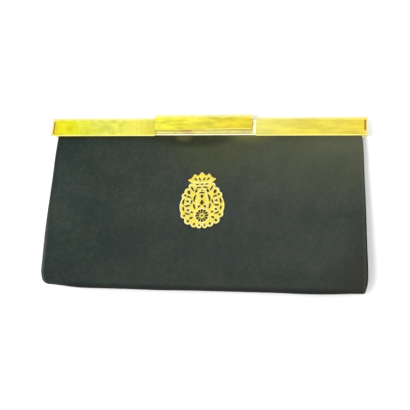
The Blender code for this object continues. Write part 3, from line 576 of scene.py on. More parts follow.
for side, shape, name in ((-1, LEFT, "gusset_left"), (1, RIGHT, "gusset_right")):
    rows = gusset_rows(shape)
    first = rows[0]
    bpy.ops.object.select_all(action="DESELECT")
    bpy.ops.mesh.primitive_grid_add(x_subdivisions=1, y_subdivisions=GUSSET_COLUMNS, size=1)
    gusset = bpy.context.object
    gusset.name = "suede_" + name
    bpy.ops.object.mode_set(mode="EDIT")
    pick("VERT", lambda vert: vert.co.x > 0)
    bpy.ops.mesh.delete(type="VERT")
    bpy.ops.object.mode_set(mode="OBJECT")
    for vert in gusset.data.vertices:
        step = vert.co.y * 2
        inward = first.tuck * (1 - abs(step) ** GUSSET_CURVE)
        vert.co = (
            side * (first.edge - inward),
            FOOT_Y + first.height,
            first.middle + first.spread * step,
        )
    bpy.ops.object.mode_set(mode="EDIT")
    bpy.ops.mesh.select_mode(type="EDGE")
    bpy.ops.mesh.select_all(action="SELECT")
    last = first
    for row in rows[1:]:
        step = (side * (row.edge - last.edge), row.height - last.height, row.middle - last.middle)
        pull(step)
        bpy.ops.transform.resize(
            value=(row.tuck / last.tuck, 1, row.spread / last.spread),
            center_override=(side * row.edge, FOOT_Y + row.height, row.middle),
        )
        last = row
    bpy.ops.object.mode_set(mode="OBJECT")
    outward = sum(face.normal.x * face.area for face in gusset.data.polygons)
    if outward * side < 0:
        gusset.data.flip_normals()
    apply_modifier(gusset, "SUBSURF", levels=1, render_levels=1, boundary_smooth="PRESERVE_CORNERS")
    apply_modifier(gusset, "SOLIDIFY", thickness=GUSSET_WALL, offset=-1)
    rounding = {"segments": 2, "limit_method": "ANGLE", "angle_limit": GUSSET_CORNER}
    apply_modifier(gusset, "BEVEL", width=GUSSET_EDGE, **rounding)
    bpy.ops.object.shade_smooth_by_angle(angle=SUEDE_TURN)
    gusset.data.materials.append(gusset_suede_shaded)
    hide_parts(name)
    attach(gusset, "clutch")


# The frame: two channels of gilt brass that grip the cover's mouth, back to back, with
# ears at their ends on flush rivets. Polished all over, and palest where it is rubbed. Its
# very pale tone also paints the near-white highlight that the polished rails show.
RAIL_EDGE = 0.12 * MM
GILT_TURN = math.radians(40)  # edges that turn further than this stay sharp
EDGE_TURN = math.radians(35)  # and edges that turn further than this are rounded
FLAT_TURN = math.radians(0.5)  # faces that turn less than this are one
SAME_POINT_MM = 0.001


def soften(node, name, width):
    """The solid of a CAD node as one merged mesh with its sharp edges rounded."""
    piece = bpy.data.objects.new(name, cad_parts[node].data.copy())
    piece.data.materials.clear()
    bpy.context.scene.collection.objects.link(piece)
    bpy.ops.object.select_all(action="DESELECT")
    bpy.context.view_layer.objects.active = piece
    piece.select_set(True)
    bpy.ops.object.mode_set(mode="EDIT")
    bpy.ops.mesh.select_all(action="SELECT")
    bpy.ops.mesh.remove_doubles(threshold=SAME_POINT_MM * MM)
    bpy.ops.mesh.dissolve_limited(angle_limit=FLAT_TURN)
    bpy.ops.object.mode_set(mode="OBJECT")
    rounding = {"segments": 2, "limit_method": "ANGLE", "angle_limit": EDGE_TURN}
    apply_modifier(piece, "BEVEL", width=width, **rounding)
    bpy.ops.object.shade_smooth_by_angle(angle=GILT_TURN)
    return piece


# Each gilt finish is a thin bright plate on brass. Its colour drifts along the piece from
# what is handled to what isn't, it clouds where polish has dried, and fine lines show how
# it was brushed. It pales over a fold, a painted highlight along the top edge, and reddens
# at a rim, where the plate has worn thin.
PALE_FOLD_HIGHLIGHT = "F4F2C8"
RED_RIM = "F3D89C"
NOISE_MOST = (0.3, 0.7)  # nearly all of a noise's values lie between these
Rim = namedtuple("Rim", "lean start stop")


def gild(name, run, tones, patch_mm, lines_mm, clouding, rough, uneven_mm=0.04, fold=None, rim=None):
    """A gilt finish, its tones along a run of X, its fold given in Y and its rim in X, all in mm."""
    material, tree, shader, place = begin_material(name)
    textures = []
    for sizes, detail in ((patch_mm, 3.0), (lines_mm, 1.5)):
        stretched = add_node(tree, "Mapping", {"Vector": place, "Scale": [1 / size for size in sizes]})
        inputs = {"Vector": stretched, "Scale": 1.0, "Detail": detail}
        textures.append(add_node(tree, "TexNoise", inputs))
    clouds, lines = textures
    along = add_node(tree, "SeparateXYZ", {0: place})
    inputs = {"Value": along.outputs["X"], "From Min": run[0], "From Max": run[1]}
    drift = add_node(tree, "MapRange", inputs, clamp=False)
    unsettled = add_node(tree, "Math", {0: clouds, 1: 0.5, 2: drift}, operation="MULTIPLY_ADD")
    shifted = add_node(tree, "Math", {0: unsettled, 1: 0.25}, operation="SUBTRACT")
    tone = add_node(tree, "ValToRGB", {0: shifted})
    ramp = tone.color_ramp
    for step in range(1, len(tones) - 1):
        ramp.elements.new(step / (len(tones) - 1))
    for element, code in zip(ramp.elements, tones):
        element.color = linear(code)
    spread = []
    for pattern, low, high in (
        (clouds, 1 - clouding, 1 + clouding / 2),
        (lines, 1 - clouding / 2, 1 + clouding / 3),
        (clouds, rough[1], rough[0]),
    ):
        inputs = {"From Min": NOISE_MOST[0], "From Max": NOISE_MOST[1], "To Min": low, "To Max": high}
        spread.append(add_node(tree, "MapRange", {"Value": pattern, **inputs}))
    clouded, lined, dulled = spread
    shade = add_node(tree, "Math", {0: clouded, 1: lined}, operation="MULTIPLY")
    inputs = {0: 1.0, 6: tone, 7: shade}
    gilt = add_node(tree, "Mix", inputs, data_type="RGBA", blend_type="MULTIPLY")
    # A painted highlight over the fold along the top edge.
    if fold:
        inputs = {"Value": along.outputs["Y"], "From Min": fold[0], "From Max": fold[1]}
        fold_highlight = add_node(tree, "MapRange", inputs)
        gilt = add_node(tree, "Mix", {0: fold_highlight, 6: gilt, 7: linear(PALE_FOLD_HIGHLIGHT)}, data_type="RGBA")
    if rim:
        inputs = {0: place, 1: (1.0, rim.lean, 0.0)}
        outward = add_node(tree, "VectorMath", inputs, operation="DOT_PRODUCT")
        inputs = {"Value": outward, "From Min": rim.start, "From Max": rim.stop}
        reddened = add_node(tree, "MapRange", inputs)
        gilt = add_node(tree, "Mix", {0: reddened, 6: gilt, 7: linear(RED_RIM)}, data_type="RGBA")
    relief = add_node(tree, "Math", {0: clouds, 1: 3.0, 2: lines}, operation="MULTIPLY_ADD")
    bump = add_node(tree, "Bump", {"Height": relief, "Distance": uneven_mm * MM, "Strength": 0.5})
    plug(tree, shader, {"Base Color": gilt, "Metallic": 1.0, "Roughness": dulled, "Normal": bump})
    return material


polished_gilt_highlit = gild(
    "gilt_brass_polished_highlit",
    run=(-125, 125),
    tones=("FAF6C4", "FCF9CC", "FAF6C4"),
    patch_mm=(9, 4, 4),
    lines_mm=(30, 0.8, 0.8),
    clouding=0.12,
    rough=(0.1, 0.22),
    uneven_mm=0.012,
)
for node, name in (
    ("frame_front", "rail_front"),
    ("frame_back", "rail_back"),
    ("hinge_rivet_left", "rivet_left"),
    ("hinge_rivet_right", "rivet_right"),
    ("clasp_pin", "pin_of_clasp"),
):
    piece = soften(node, name, RAIL_EDGE)
    piece.data.materials.append(polished_gilt_highlit)
    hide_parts(node)
    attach(piece, "clutch")


# The cover bars: gilt sheet folded over the front rail on either side of the clasp. Each
# has a rubbed lip along its lower edge and a narrow slot near its outer end, where the
# fold of the sheet is locked.
BAR_SHEET = 0.8 * MM
BAR_BACK = 12.9 * MM
BAR_STEP = 0.8 * MM
BAR_FOOT = 12.2 * MM
BAR_EDGE = 0.3 * MM
LIP_HEIGHT = 1.1 * MM
LIP_PROUD = 0.25 * MM
SLOT_DEPTH = 0.45 * MM
FACING = 0.9  # a normal's share along an axis from which a face counts as facing that way


def block(name, low, high):
    """A new block between two corners, with its place in its mesh."""
    bpy.ops.object.select_all(action="DESELECT")
    bpy.ops.mesh.primitive_cube_add(size=1, location=[(a + b) / 2 for a, b in zip(low, high)])
    piece = bpy.context.object
    piece.name = name
    piece.scale = [b - a for a, b in zip(low, high)]
    bpy.ops.object.transform_apply(location=True, rotation=True, scale=True)
    return piece


def pick_faces(way, wanted):
    """Selects the faces that look up, 1, or down, -1, and whose middle passes a test."""
    pick("FACE", lambda face: face.normal.z * way > FACING and wanted(face.calc_center_median()))


def combine(piece, operation, *helpers, **settings):
    """Joins helpers to a piece, or cuts them out of it, and removes them."""
    for helper in helpers:
        apply_modifier(piece, "BOOLEAN", operation=operation, object=helper, **settings)
        bpy.data.objects.remove(helper)


# Gilt brass sheet, brushed: it spreads the light in soft streaks, across the left bar and
# along the right one. The left one looks greener, and the right one palest by the clasp.
left_gilt = gild(
    "gilt_sheet_brushed_across",
    run=(-125, -40),
    tones=("E6D42C", "E2DE24", "DEDD46", "D9DA5C", "E4DF5C", "EAE25E", "D8C84A"),
    patch_mm=(7, 5, 5),
    lines_mm=(1.4, 9, 9),
    clouding=0.15,
    rough=(0.22, 0.36),
    fold=(64.0, 67.0),
    rim=Rim(-0.1, -129.6, -130.4),
)
right_gilt = gild(
    "gilt_sheet_brushed_along",
    run=(40, 125),
    tones=("E4DF7A", "E6DA62", "E1D152", "E2D254", "E9D048"),
    patch_mm=(14, 4, 4),
    lines_mm=(60, 0.8, 0.8),
    clouding=0.18,
    rough=(0.2, 0.34),
    fold=(64.2, 67.2),
    rim=Rim(0.0, 125.0, 125.5),
)

# The lips are rubbed pale and smooth by the hand, and their pale tone also paints the
# highlight along them and along the bars' rounded edges. The slots hold a dull brown
# tarnish, which no polishing reaches, darkened further as painted shade in the narrow slot.
rubbed_gilt_highlit = gild(
    "gilt_edge_rubbed_highlit",
    run=(-125, 125),
    tones=("EFEC84", "F1EE90", "F1E884"),
    patch_mm=(12, 3, 3),
    lines_mm=(20, 0.9, 0.9),
    clouding=0.08,
    rough=(0.14, 0.24),
)
# The slot's brown is partly tarnish and partly painted shade, the dark that a narrow recess holds.
tarnish_and_shade, tree, shader, place = begin_material("gilt_tarnished_and_shaded_in_a_slot")
stain = add_node(tree, "TexNoise", {"Vector": place, "Scale": 0.8, "Detail": 2.0})
browns = {0: stain, 6: linear("7A6418"), 7: linear("B8962E")}
stained_and_shaded = add_node(tree, "Mix", browns, data_type="RGBA")
pitted = add_node(tree, "Bump", {"Height": stain, "Distance": 0.05 * MM, "Strength": 0.5})
tarnish_and_shade_look = {"Base Color": stained_and_shaded, "Metallic": 0.3, "Roughness": 0.75, "Normal": pitted}
plug(tree, shader, tarnish_and_shade_look)

# A bar's outer end, 1 for right and -1 for left, its slot, how far it reaches past its solid
# at either end and at the top, and how far its outer end flares towards its foot.
Bar = namedtuple(
    "Bar",
    "node name outer gilt slot_in slot_wide slot_foot slot_head slot_lean longer inward taller flare",
)
for part in (
    Bar(
        node="bar_left",
        name="cover_bar_left",
        outer=-1,
        gilt=left_gilt,
        slot_in=2.0 * MM,
        slot_wide=1.0 * MM,
        slot_foot=2.0 * MM,
        slot_head=3.0 * MM,
        slot_lean=math.radians(6.0),
        longer=-0.2 * MM,
        inward=1.25 * MM,
        taller=0.4 * MM,
        flare=1.4 * MM,
    ),
    Bar(
        node="bar_right",
        name="cover_bar_right",
        outer=1,
        gilt=right_gilt,
        slot_in=1.6 * MM,
        slot_wide=1.5 * MM,
        slot_foot=4.0 * MM,
        slot_head=2.4 * MM,
        slot_lean=math.radians(-1.0),
        longer=1.2 * MM,
        inward=0.0,
        taller=0.5 * MM,
        flare=0.0,
    ),
):
    low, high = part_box(part.node)
    low.x -= part.longer if part.outer < 0 else part.inward
    high.x += part.longer if part.outer > 0 else part.inward
    high.y += part.taller
    end = high.x if part.outer > 0 else low.x
    bar = block(part.name, (low.x, low.y, BAR_BACK), high)
    bpy.ops.object.mode_set(mode="EDIT")
    cut_across((0, high.y - BAR_STEP, 0), (0, 1, 0))
    pick_faces(-1, lambda middle: middle.y > high.y - BAR_STEP)
    pull((0, 0, low.z - BAR_BACK))
    pick_faces(-1, lambda middle: middle.y < high.y - BAR_STEP)
    bpy.ops.mesh.inset(thickness=BAR_SHEET)
    pull((0, 0, high.z - BAR_SHEET - BAR_BACK))
    if part.inward:
        pick_faces(-1, lambda middle: middle.x > high.x - BAR_SHEET)
        pull((0, 0, BAR_FOOT - BAR_BACK))
    cut_across((0, low.y + LIP_HEIGHT, 0), (0, 1, 0))
    pick_faces(1, lambda middle: middle.y < low.y + LIP_HEIGHT)
    pull((0, 0, LIP_PROUD))
    bpy.ops.object.mode_set(mode="OBJECT")
    for vert in bar.data.vertices:
        if abs(vert.co.x - end) < BAR_SHEET * 1.1:  # on either face of the outer end's wall
            vert.co.x += part.outer * part.flare * (high.y - vert.co.y) / (high.y - low.y)

    # Its finishes: 0 its own brushed gilt, 1 the lip and its rounded edges, 2 the slot, and 3 the
    # inner end, where the pale polished gilt is a painted highlight that lifts the shade by the clasp.
    for finish in (part.gilt, rubbed_gilt_highlit, tarnish_and_shade, polished_gilt_highlit):
        bar.data.materials.append(finish)
    for face in bar.data.polygons:
        on_lip = face.center.z > high.z + LIP_PROUD / 2
        on_inner_end = face.normal.x * part.outer < -FACING
        face.material_index = 1 if on_lip else 3 if on_inner_end else 0
    rounding = {"segments": 3, "limit_method": "ANGLE", "angle_limit": EDGE_TURN}
    apply_modifier(bar, "BEVEL", width=BAR_EDGE, material=1, **rounding)
    slot_x = end + part.outer * (part.flare / 2 - part.slot_in)
    slot_low = (slot_x - part.slot_wide / 2, low.y + part.slot_foot, high.z - SLOT_DEPTH)
    slot_high = (slot_x + part.slot_wide / 2, high.y - part.slot_head, high.z + SLOT_DEPTH)
    slot = block("slot", slot_low, slot_high)
    slot.data.materials.append(tarnish_and_shade)
    bpy.ops.transform.rotate(
        value=part.slot_lean,
        orient_axis="Z",
        center_override=(slot_x, (low.y + high.y) / 2, 0),
    )
    bpy.ops.object.transform_apply(location=True, rotation=True, scale=True)
    combine(bar, "DIFFERENCE", slot, material_mode="TRANSFER")
    bpy.ops.object.select_all(action="DESELECT")
    bar.select_set(True)
    bpy.ops.object.shade_smooth_by_angle(angle=GILT_TURN)
    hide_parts(part.node)
    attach(bar, "clutch")


# The clasp plate: a tray bent from gilt sheet, with a rolled lower edge that snaps over
# two studs on the rail. Its top runs back over the frame to a knuckle on the hinge pin.
clasp_low, clasp_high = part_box("clasp_plate")
clasp_middle = (clasp_low.x + clasp_high.x) / 2
CLASP_FACE = 17.0 * MM
CLASP_SHEET = 1.0 * MM
CLASP_BACK = 4.2 * MM
CLASP_SHOULDER = 3.2 * MM
CLASP_RAISED = 0.2 * MM
CLASP_EDGE = 0.3 * MM
CLASP_FOOT = 12.55 * MM
CLASP_LEAN = 0.007
SHOULDER_HALF = 30.0 * MM
ROLL_RADIUS = 0.8 * MM
ROLL_SHORT = 0.2 * MM
ROLL_PROUD = 0.1 * MM  # faces that stand over the plate's face by more than this are the roll's
HINGE_Y = 136.2 * MM + FOOT_Y
HINGE_Z = 1.8 * MM
KNUCKLE_RADIUS = 1.7 * MM
KNUCKLE_BORE = 1.0 * MM
KNUCKLE_HALF = 27.0 * MM
STRAP_SHEET = 0.9 * MM
STRAP_INSET = 0.2 * MM
STRAP_SET = 0.1 * MM
SPARE = 2.0 * MM  # what cuts or joins a piece runs past it by this
CREASE_FACING = 0.3  # the crease's faces look down the pouch by more than this share
EDGE_FACING = (0.2, 0.98)  # and the rounded edges' faces look up by a share between these

# Gilt brass sheet, burnished to a cloudy gloss by every opening. It is rubbed pale along its
# edges, a pale tone that also paints the highlight along the roll's crest and the edges, and
# browned in the crease under the roll, most of all where the finger lifts it, partly a stain
# and partly painted shade.
clasp_gilt = gild(
    "gilt_clasp_burnished",
    run=(-40, 38),
    tones=("EDE84C", "E8DF42", "E3D94A", "E1D040", "DFC938"),
    patch_mm=(11, 4.5, 4.5),
    lines_mm=(16, 1.4, 1.4),
    clouding=0.26,
    rough=(0.12, 0.26),
    uneven_mm=0.02,
    fold=(65.6, 69.0),
)
clasp_edge_gilt_highlit = gild(
    "gilt_clasp_edge_rubbed_highlit",
    run=(-40, 38),
    tones=("EADF50", "F2E65E", "F6EC74", "F4E66C"),
    patch_mm=(8, 3, 3),
    lines_mm=(20, 0.9, 0.9),
    clouding=0.1,
    rough=(0.14, 0.24),
    uneven_mm=0.012,
    fold=(65.6, 69.0),
)
crease_gilt_shaded = gild(
    "gilt_browned_and_shaded_in_a_crease",
    run=(-40, 38),
    tones=("FAF278", "F6EA68", "DEA646", "F8EC74", "F6EA70", "E6D464", "E4D060"),
    patch_mm=(5, 3, 3),
    lines_mm=(20, 0.9, 0.9),
    clouding=0.16,
    rough=(0.14, 0.24),
)


def rod(radius, length, y, z, sides):
    """A new rod along X, at the clasp's middle."""
    bpy.ops.object.select_all(action="DESELECT")
    bpy.ops.mesh.primitive_cylinder_add(
        vertices=sides,
        radius=radius,
        depth=length,
        location=(clasp_middle, y, z),
        rotation=(0, math.radians(90), 0),
    )
    bpy.ops.object.transform_apply(location=True, rotation=True, scale=True)
    return bpy.context.object


clasp_low.y += CLASP_RAISED
plate = block(
    "clasp_cover_plate",
    (clasp_low.x, clasp_low.y, CLASP_FOOT),
    (clasp_high.x, clasp_high.y, CLASP_FACE),
)
bpy.ops.object.mode_set(mode="EDIT")

# The edges round its face are rounded, and the two that run back from its upper corners.
face_level = CLASP_FACE - CLASP_EDGE
pick(
    "EDGE",
    lambda edge: max(v.co.z for v in edge.verts) > face_level
    and all(v.co.z > face_level or v.co.y > clasp_high.y - CLASP_EDGE for v in edge.verts),
)
bpy.ops.mesh.bevel(offset=CLASP_EDGE, segments=3, affect="EDGES")
shoulder_y = clasp_high.y - CLASP_SHOULDER
cut_across((0, shoulder_y, 0), (0, 1, 0))
for half in (-SHOULDER_HALF, SHOULDER_HALF):
    cut_across((clasp_middle + half, 0, 0), (1, 0, 0))
pick_faces(
    -1, lambda middle: middle.y > shoulder_y and abs(middle.x - clasp_middle) < SHOULDER_HALF
)
pull((0, 0, CLASP_BACK - CLASP_FOOT))
bpy.ops.object.mode_set(mode="OBJECT")
hollow = block(
    "clasp_hollow",
    (clasp_low.x + CLASP_SHEET, clasp_low.y + CLASP_SHEET, CLASP_BACK - SPARE),
    (clasp_high.x - CLASP_SHEET, clasp_high.y - CLASP_SHEET, CLASP_FACE - CLASP_SHEET),
)
combine(plate, "DIFFERENCE", hollow)
roll_length = clasp_high.x - clasp_low.x - ROLL_SHORT
roll_y, roll_z = clasp_low.y + ROLL_RADIUS, clasp_high.z - ROLL_RADIUS
combine(plate, "UNION", rod(ROLL_RADIUS, roll_length, roll_y, roll_z, sides=24))
for vert in plate.data.vertices:
    vert.co.y += CLASP_LEAN * (vert.co.x - clasp_middle)
strap_half = KNUCKLE_HALF - STRAP_INSET
strap = block(
    "clasp_strap",
    (clasp_middle - strap_half, clasp_high.y - STRAP_SHEET, HINGE_Z),
    (clasp_middle + strap_half, clasp_high.y - STRAP_SET, CLASP_BACK + SPARE),
)
knuckle = rod(KNUCKLE_RADIUS, 2 * KNUCKLE_HALF, HINGE_Y, HINGE_Z, sides=28)
combine(plate, "UNION", strap, knuckle)
bore = rod(KNUCKLE_BORE, 2 * (KNUCKLE_HALF + SPARE), HINGE_Y, HINGE_Z, sides=20)
combine(plate, "DIFFERENCE", bore)
bpy.ops.object.select_all(action="DESELECT")
plate.select_set(True)
plate.data.materials.clear()

# Its finishes: 0 the burnished plate, 1 the roll's crest and the rubbed edges, with their
# painted highlight, 2 the crease, with its painted shade.
for finish in (clasp_gilt, clasp_edge_gilt_highlit, crease_gilt_shaded):
    plate.data.materials.append(finish)
for face in plate.data.polygons:
    on_roll = face.normal.z > FACING and face.center.z > CLASP_FACE + ROLL_PROUD
    under_roll = face.normal.y < -CREASE_FACING and face.center.y < clasp_low.y + 2 * ROLL_RADIUS
    on_edge = EDGE_FACING[0] < face.normal.z < EDGE_FACING[1] and face.center.z > face_level
    on_edge = on_edge and face.center.y > clasp_low.y + 2.5 * ROLL_RADIUS
    face.material_index = 1 if on_roll or on_edge else 2 if under_roll else 0
bpy.ops.object.shade_smooth_by_angle(angle=GILT_TURN)
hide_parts("clasp_plate")
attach(plate, "clasp")


# The crest: a pierced plate, cast in brass and gilt, pinned flat on the front panel. An
# oval with scalloped lobes under a five-point crown, its piercings collared and its rim,
# rosette and scrolls raised.
CREST_X = 0.5 * MM
CREST_HEIGHT = 70.0 * MM
CREST_TURN = math.radians(3.0)
CREST_SEAT = 0.35 * MM

# It is drawn in millimetres about its own middle, and brought to size when it is seated.
CREST_PLATE = 0.9
CREST_RAISED = 0.1  # the rim and the arcs lie this far above the plate's face
OVAL_MIDDLE = -5.0
OVAL = (17.7, 14.9)
OUTLINE_STEPS = 110
RIM_SWEEP = 155  # degrees, from the lowest point up to the crown
RIM_INSET = 0.55
RIM_STEPS = 90
RIM_RADIUS = 0.42
ARC_STEPS = 40
ARC_RADIUS = 0.36
HOLE_POINTS = 18
HOLE_GROWN = 0.02
COLLAR_POINTS = 16
COLLAR_GROWN = 0.3  # how far outside a piercing its collar runs
COLLAR_RADIUS = 0.26
Lobe = namedtuple("Lobe", "name u v radius")
LOBES = (
    Lobe("ear", 8.1, 11.1, 2.6),
    Lobe("shoulder", 11.0, 6.8, 3.0),
    Lobe("elbow", 13.7, 3.6, 2.4),
    Lobe("hip", 14.3, -11.7, 2.6),
    Lobe("thigh", 10.9, -16.0, 3.2),
    Lobe("foot", 6.2, -18.6, 2.9),
    Lobe("heel", 2.2, -20.3, 2.2),
)

# (u, v) points up the right half of the crown, from its foot to its middle.
CROWN = (
    *((6.9, 12.9), (8.6, 14.2), (11.0, 16.0), (11.0, 16.8), (9.1, 17.3), (7.9, 18.1)),
    *((6.7, 20.0), (6.0, 20.9), (5.0, 20.7), (3.9, 19.8), (2.9, 19.4), (1.8, 20.6), (0.7, 22.1)),
)

# Each piercing's middle and size, and its turn and bend in degrees. Those that lie off the
# middle are cut on both sides.
Piercing = namedtuple("Piercing", "name u v length width turn bend taper")
PIERCINGS = (
    Piercing("lily_body", 0.0, -1.8, 4.0, 2.6, 90, 0, -0.45),
    Piercing("lily_arm", 2.3, -5.0, 2.5, 1.3, -35, -50, 0.3),
    Piercing("chevron", 0.0, 2.7, 2.8, 2.1, 90, 0, 0.6),
    Piercing("brow_slot", 0.0, 5.9, 4.4, 1.1, 0, -60, 0.0),
    Piercing("brow_dot", 0.0, 7.9, 1.2, 1.2, 0, 0, 0.0),
    Piercing("temple", 4.5, 7.4, 2.9, 1.6, -62, 30, 0.3),
    Piercing("neck_slot", 2.6, 10.1, 4.2, 1.0, -10, -30, 0.0),
    Piercing("ear_slot", 7.4, 9.0, 4.2, 1.15, 58, 0, 0.3),
    Piercing("long_arc", 5.9, 1.7, 6.4, 1.3, -74, -55, 0.0),
    Piercing("low_arc", 6.2, -5.0, 4.4, 1.25, -106, -45, -0.1),
    Piercing("shoulder_drop", 10.2, 6.3, 3.2, 2.0, 60, 0, 0.35),
    Piercing("elbow_drop", 13.0, 4.0, 2.4, 1.2, 35, 0, 0.2),
    Piercing("scroll_top", 10.4, 2.9, 4.2, 1.1, 12, -70, 0.0),
    Piercing("scroll_side", 14.8, -0.9, 4.6, 1.3, -76, -60, 0.0),
    Piercing("scroll_eye", 11.3, -0.7, 2.0, 1.5, 20, 0, 0.3),
    Piercing("scroll_tail", 8.2, -1.3, 3.4, 1.1, -70, 50, 0.0),
    Piercing("lower_top", 11.3, -4.4, 4.4, 1.2, -10, 60, 0.2),
    Piercing("lower_side", 14.8, -6.6, 3.4, 1.2, -102, -40, 0.0),
    Piercing("lower_eye", 10.9, -7.6, 2.0, 1.3, -20, 0, 0.3),
    Piercing("lower_base", 11.7, -10.6, 4.2, 1.1, -160, -50, 0.0),
    Piercing("hip_dot", 14.0, -12.0, 1.7, 1.4, 0, 0, 0.0),
    Piercing("fan_one", 7.9, -9.6, 2.0, 1.2, 30, 0, 0.4),
    Piercing("fan_two", 8.4, -13.9, 2.8, 1.4, -25, 0, 0.4),
    Piercing("thigh_dot", 11.0, -16.3, 2.0, 1.5, -50, 0, 0.2),
    Piercing("foot_dot", 6.2, -18.8, 1.9, 1.4, -70, 0, 0.2),
    Piercing("heel_dot", 2.1, -19.9, 1.4, 1.1, -80, 0, 0.2),
    Piercing("crown_inner", 1.75, 16.6, 2.6, 1.1, 62, 20, 0.0),
    Piercing("crown_outer", 5.0, 16.7, 2.6, 1.15, 48, 20, 0.0),
    Piercing("band_middle", 0.0, 12.6, 2.2, 0.8, 0, 20, 0.0),
    Piercing("band_side", 3.7, 12.6, 2.4, 0.8, 6, 20, 0.0),
    Piercing("rosette_eye", 0.0, -12.4, 1.5, 1.5, 0, 0, 0.0),
)
ROSETTE = (0.0, -12.4)
PETALS = 12
PETAL_REACH, PETAL_LENGTH, PETAL_WIDTH, PETAL_TAPER = 3.55, 3.1, 1.45, 0.5

# Raised arcs, from a start to an end in degrees, and the balls on the crown's points.
Arc = namedtuple("Arc", "name u v wide tall start end")
ARCS = (
    Arc("middle_oval", 0.0, -0.9, 4.2, 9.4, -36, 216),
    Arc("band_low", 0.0, 12.4, 7.2, 1.3, 180, 360),
    Arc("band_high", 0.0, 15.1, 8.6, 1.5, 180, 360),
    Arc("upper_scroll", 11.2, -0.7, 2.0, 1.75, 55, 330),
    Arc("lower_scroll", 11.2, -7.6, 2.0, 1.75, 30, 305),
    Arc("rosette_ring", 0.0, -12.4, 5.75, 5.75, 0, 360),
)
Ball = namedtuple("Ball", "u v radius")
BALLS = (
    Ball(0.0, 21.0, 0.9),
    Ball(5.3, 19.7, 0.8),
    Ball(9.9, 16.2, 0.65),
)


def lobe_reach(angle, u, v, radius):
    """How far a ray from the oval's middle runs before it leaves a lobe, or 0."""
    forward = u * math.cos(angle) + v * math.sin(angle)
    inside = forward**2 - u**2 - v**2 + radius**2
    return forward + math.sqrt(inside) if inside > 0 else 0.0


def crest_rim(inset, steps):
    """Points up one side of the lobed rim, from its lowest point to the crown."""
    points = []
    for step in range(steps + 1):
        angle = math.radians(-90 + RIM_SWEEP * step / steps)
        wide, tall = OVAL[0] - inset, OVAL[1] - inset
        reach = 1 / math.hypot(math.cos(angle) / wide, math.sin(angle) / tall)
        for lobe in LOBES:
            for u in (-lobe.u, lobe.u):
                reach = max(reach, lobe_reach(angle, u, lobe.v - OVAL_MIDDLE, lobe.radius - inset))
        points.append((reach * math.cos(angle), OVAL_MIDDLE + reach * math.sin(angle)))
    return points


def mirrored(points):
    """The same points on the other side of the middle, in the opposite order."""
    return [(-u, v) for u, v in reversed(points)]


def piercing_loop(slot, grow, count):
    """The outline of one piercing, made wider by grow and turned and bent by its angles."""
    turn, bend = math.radians(slot.turn), math.radians(slot.bend)
    length = slot.length + 2 * grow
    points = []
    for step in range(count):
        angle = 2 * math.pi * (step + 0.5) / count
        along = math.cos(angle) / 2
        across = math.sin(angle) / 2 * (slot.width * (1 + 2 * slot.taper * along) + 2 * grow)
        x, y = along * length, across
        if bend:
            radius = slot.length / bend
            x = math.sin(along * length / radius) * (radius - across)
            y = radius - math.cos(along * length / radius) * (radius - across)
        points.append(
            (
                slot.u + x * math.cos(turn) - y * math.sin(turn),
                slot.v + x * math.sin(turn) + y * math.cos(turn),
            )
        )
    return points


def all_piercings(grow, count):
    """Every piercing's outline, with the petals of the rosette and the mirrored ones."""
    loops = []
    for step in range(PETALS):
        turn = 90 + 360 * step / PETALS
        u = ROSETTE[0] + PETAL_REACH * math.cos(math.radians(turn))
        v = ROSETTE[1] + PETAL_REACH * math.sin(math.radians(turn))
        petal = Piercing("petal", u, v, PETAL_LENGTH, PETAL_WIDTH, turn, 0, PETAL_TAPER)
        loops.append(piercing_loop(petal, grow, count))
    for slot in PIERCINGS:
        loop = piercing_loop(slot, grow, count)
        loops.append(loop)
        if slot.u:
            loops.append(mirrored(loop))
    return loops


def arc_path(arc):
    """Points along one arc, from its start to its end."""
    points = []
    for step in range(ARC_STEPS + 1):
        angle = math.radians(arc.start + (arc.end - arc.start) * step / ARC_STEPS)
        points.append((arc.u + arc.wide * math.cos(angle), arc.v + arc.tall * math.sin(angle)))
    return points


def draw_curve(name, paths, closed, level, **settings):
    """A curve object of straight runs in the crest's leaning plane, turned into a mesh."""
    lean_u, lean_v = math.cos(CREST_TURN), math.sin(CREST_TURN)
    flat = bpy.data.curves.new(name, "CURVE")
    for setting, value in settings.items():
        setattr(flat, setting, value)
    for path in paths:
        spline = flat.splines.new("POLY")
        spline.points.add(len(path) - 1)
        for point, (u, v) in zip(spline.points, path):
            point.co = (u * lean_u - v * lean_v, u * lean_v + v * lean_u, level, 1.0)
        spline.use_cyclic_u = closed
    drawn = bpy.data.objects.new(name, flat)
    bpy.context.scene.collection.objects.link(drawn)
    bpy.ops.object.select_all(action="DESELECT")
    bpy.context.view_layer.objects.active = drawn
    drawn.select_set(True)
    bpy.ops.object.convert(target="MESH")
    bpy.ops.object.mode_set(mode="EDIT")
    bpy.ops.mesh.select_all(action="SELECT")
    bpy.ops.mesh.remove_doubles(threshold=SAME_POINT_MM)
    bpy.ops.mesh.normals_make_consistent(inside=False)
    bpy.ops.object.mode_set(mode="OBJECT")
    return bpy.context.object


